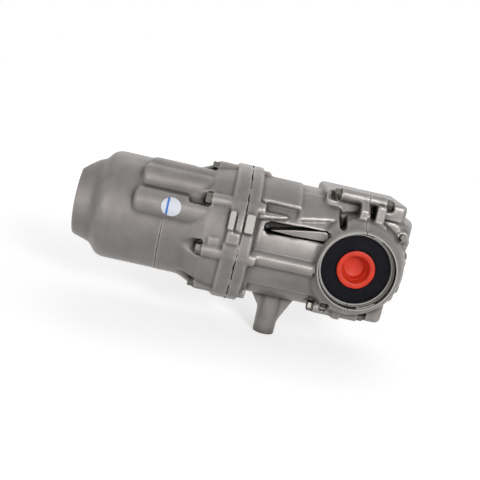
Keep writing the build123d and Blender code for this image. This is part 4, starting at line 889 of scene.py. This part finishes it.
deselect()
bpy.ops.mesh.primitive_circle_add(vertices=64, radius=sticker_r, fill_type="NGON")
sticker = bpy.context.object
sticker.name = "round_sticker"
bpy.ops.object.mode_set(mode="EDIT")
bpy.ops.mesh.select_all(action="SELECT")
for ring in range(6):
    bpy.ops.mesh.inset(thickness=sticker_r / 7)
bpy.ops.object.mode_set(mode="OBJECT")
for vertex in sticker.data.vertices:
    turn = sticker_turn + vertex.co.y / swelling_r
    vertex.co = (sticker_x + vertex.co.x, swelling_y - swelling_r * math.cos(turn),
                 swelling_z + swelling_r * math.sin(turn))
take_up(sticker)
bpy.ops.object.mode_set(mode="EDIT")
bpy.ops.mesh.select_all(action="SELECT")
bpy.ops.mesh.normals_make_consistent(inside=False)
bpy.ops.object.mode_set(mode="OBJECT")
if sum(face.normal.y * face.area for face in sticker.data.polygons) > 0:
    sticker.data.flip_normals()
thick = sticker.modifiers.new("paper", "SOLIDIFY")
thick.thickness = 0.00025
thick.offset = 0
bpy.ops.object.modifier_apply(modifier="paper")

sticker_paper = bpy.data.materials.new("sticker_paper")
sticker_paper.use_nodes = True
sticker_tree = sticker_paper.node_tree
sticker_shader = sticker_tree.nodes["Principled BSDF"]
sticker_shader.inputs["Roughness"].default_value = 0.45
sticker_place = sticker_tree.nodes.new("ShaderNodeTexCoord")
sticker_fibre = sticker_tree.nodes.new("ShaderNodeTexNoise")
sticker_fibre.inputs["Scale"].default_value = 900
sticker_tree.links.new(sticker_place.outputs["Object"], sticker_fibre.inputs["Vector"])
sticker_white = sticker_tree.nodes.new("ShaderNodeValToRGB")
sticker_white.color_ramp.elements[0].color = (0.60, 0.62, 0.68, 1)
sticker_white.color_ramp.elements[1].color = (0.70, 0.72, 0.77, 1)
sticker_tree.links.new(sticker_fibre.outputs["Fac"], sticker_white.inputs["Fac"])
sticker_axes = sticker_tree.nodes.new("ShaderNodeSeparateXYZ")
sticker_tree.links.new(sticker_place.outputs["Object"], sticker_axes.inputs["Vector"])
band = sticker_tree.nodes.new("ShaderNodeMath")
band.operation = "COMPARE"
band.inputs[1].default_value = sticker_x - 0.0042
band.inputs[2].default_value = 0.0013
sticker_tree.links.new(sticker_axes.outputs["X"], band.inputs[0])
sticker_print = sticker_tree.nodes.new("ShaderNodeMix")
sticker_print.data_type = "RGBA"
sticker_print.inputs[7].default_value = (0.045, 0.17, 0.50, 1)
sticker_tree.links.new(band.outputs[0], sticker_print.inputs[0])
sticker_tree.links.new(sticker_white.outputs["Color"], sticker_print.inputs[6])
sticker_tree.links.new(sticker_print.outputs[2], sticker_shader.inputs["Base Color"])
sticker.data.materials.append(sticker_paper)
bpy.ops.object.shade_smooth_by_angle(angle=math.radians(38))
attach(sticker, "housing")
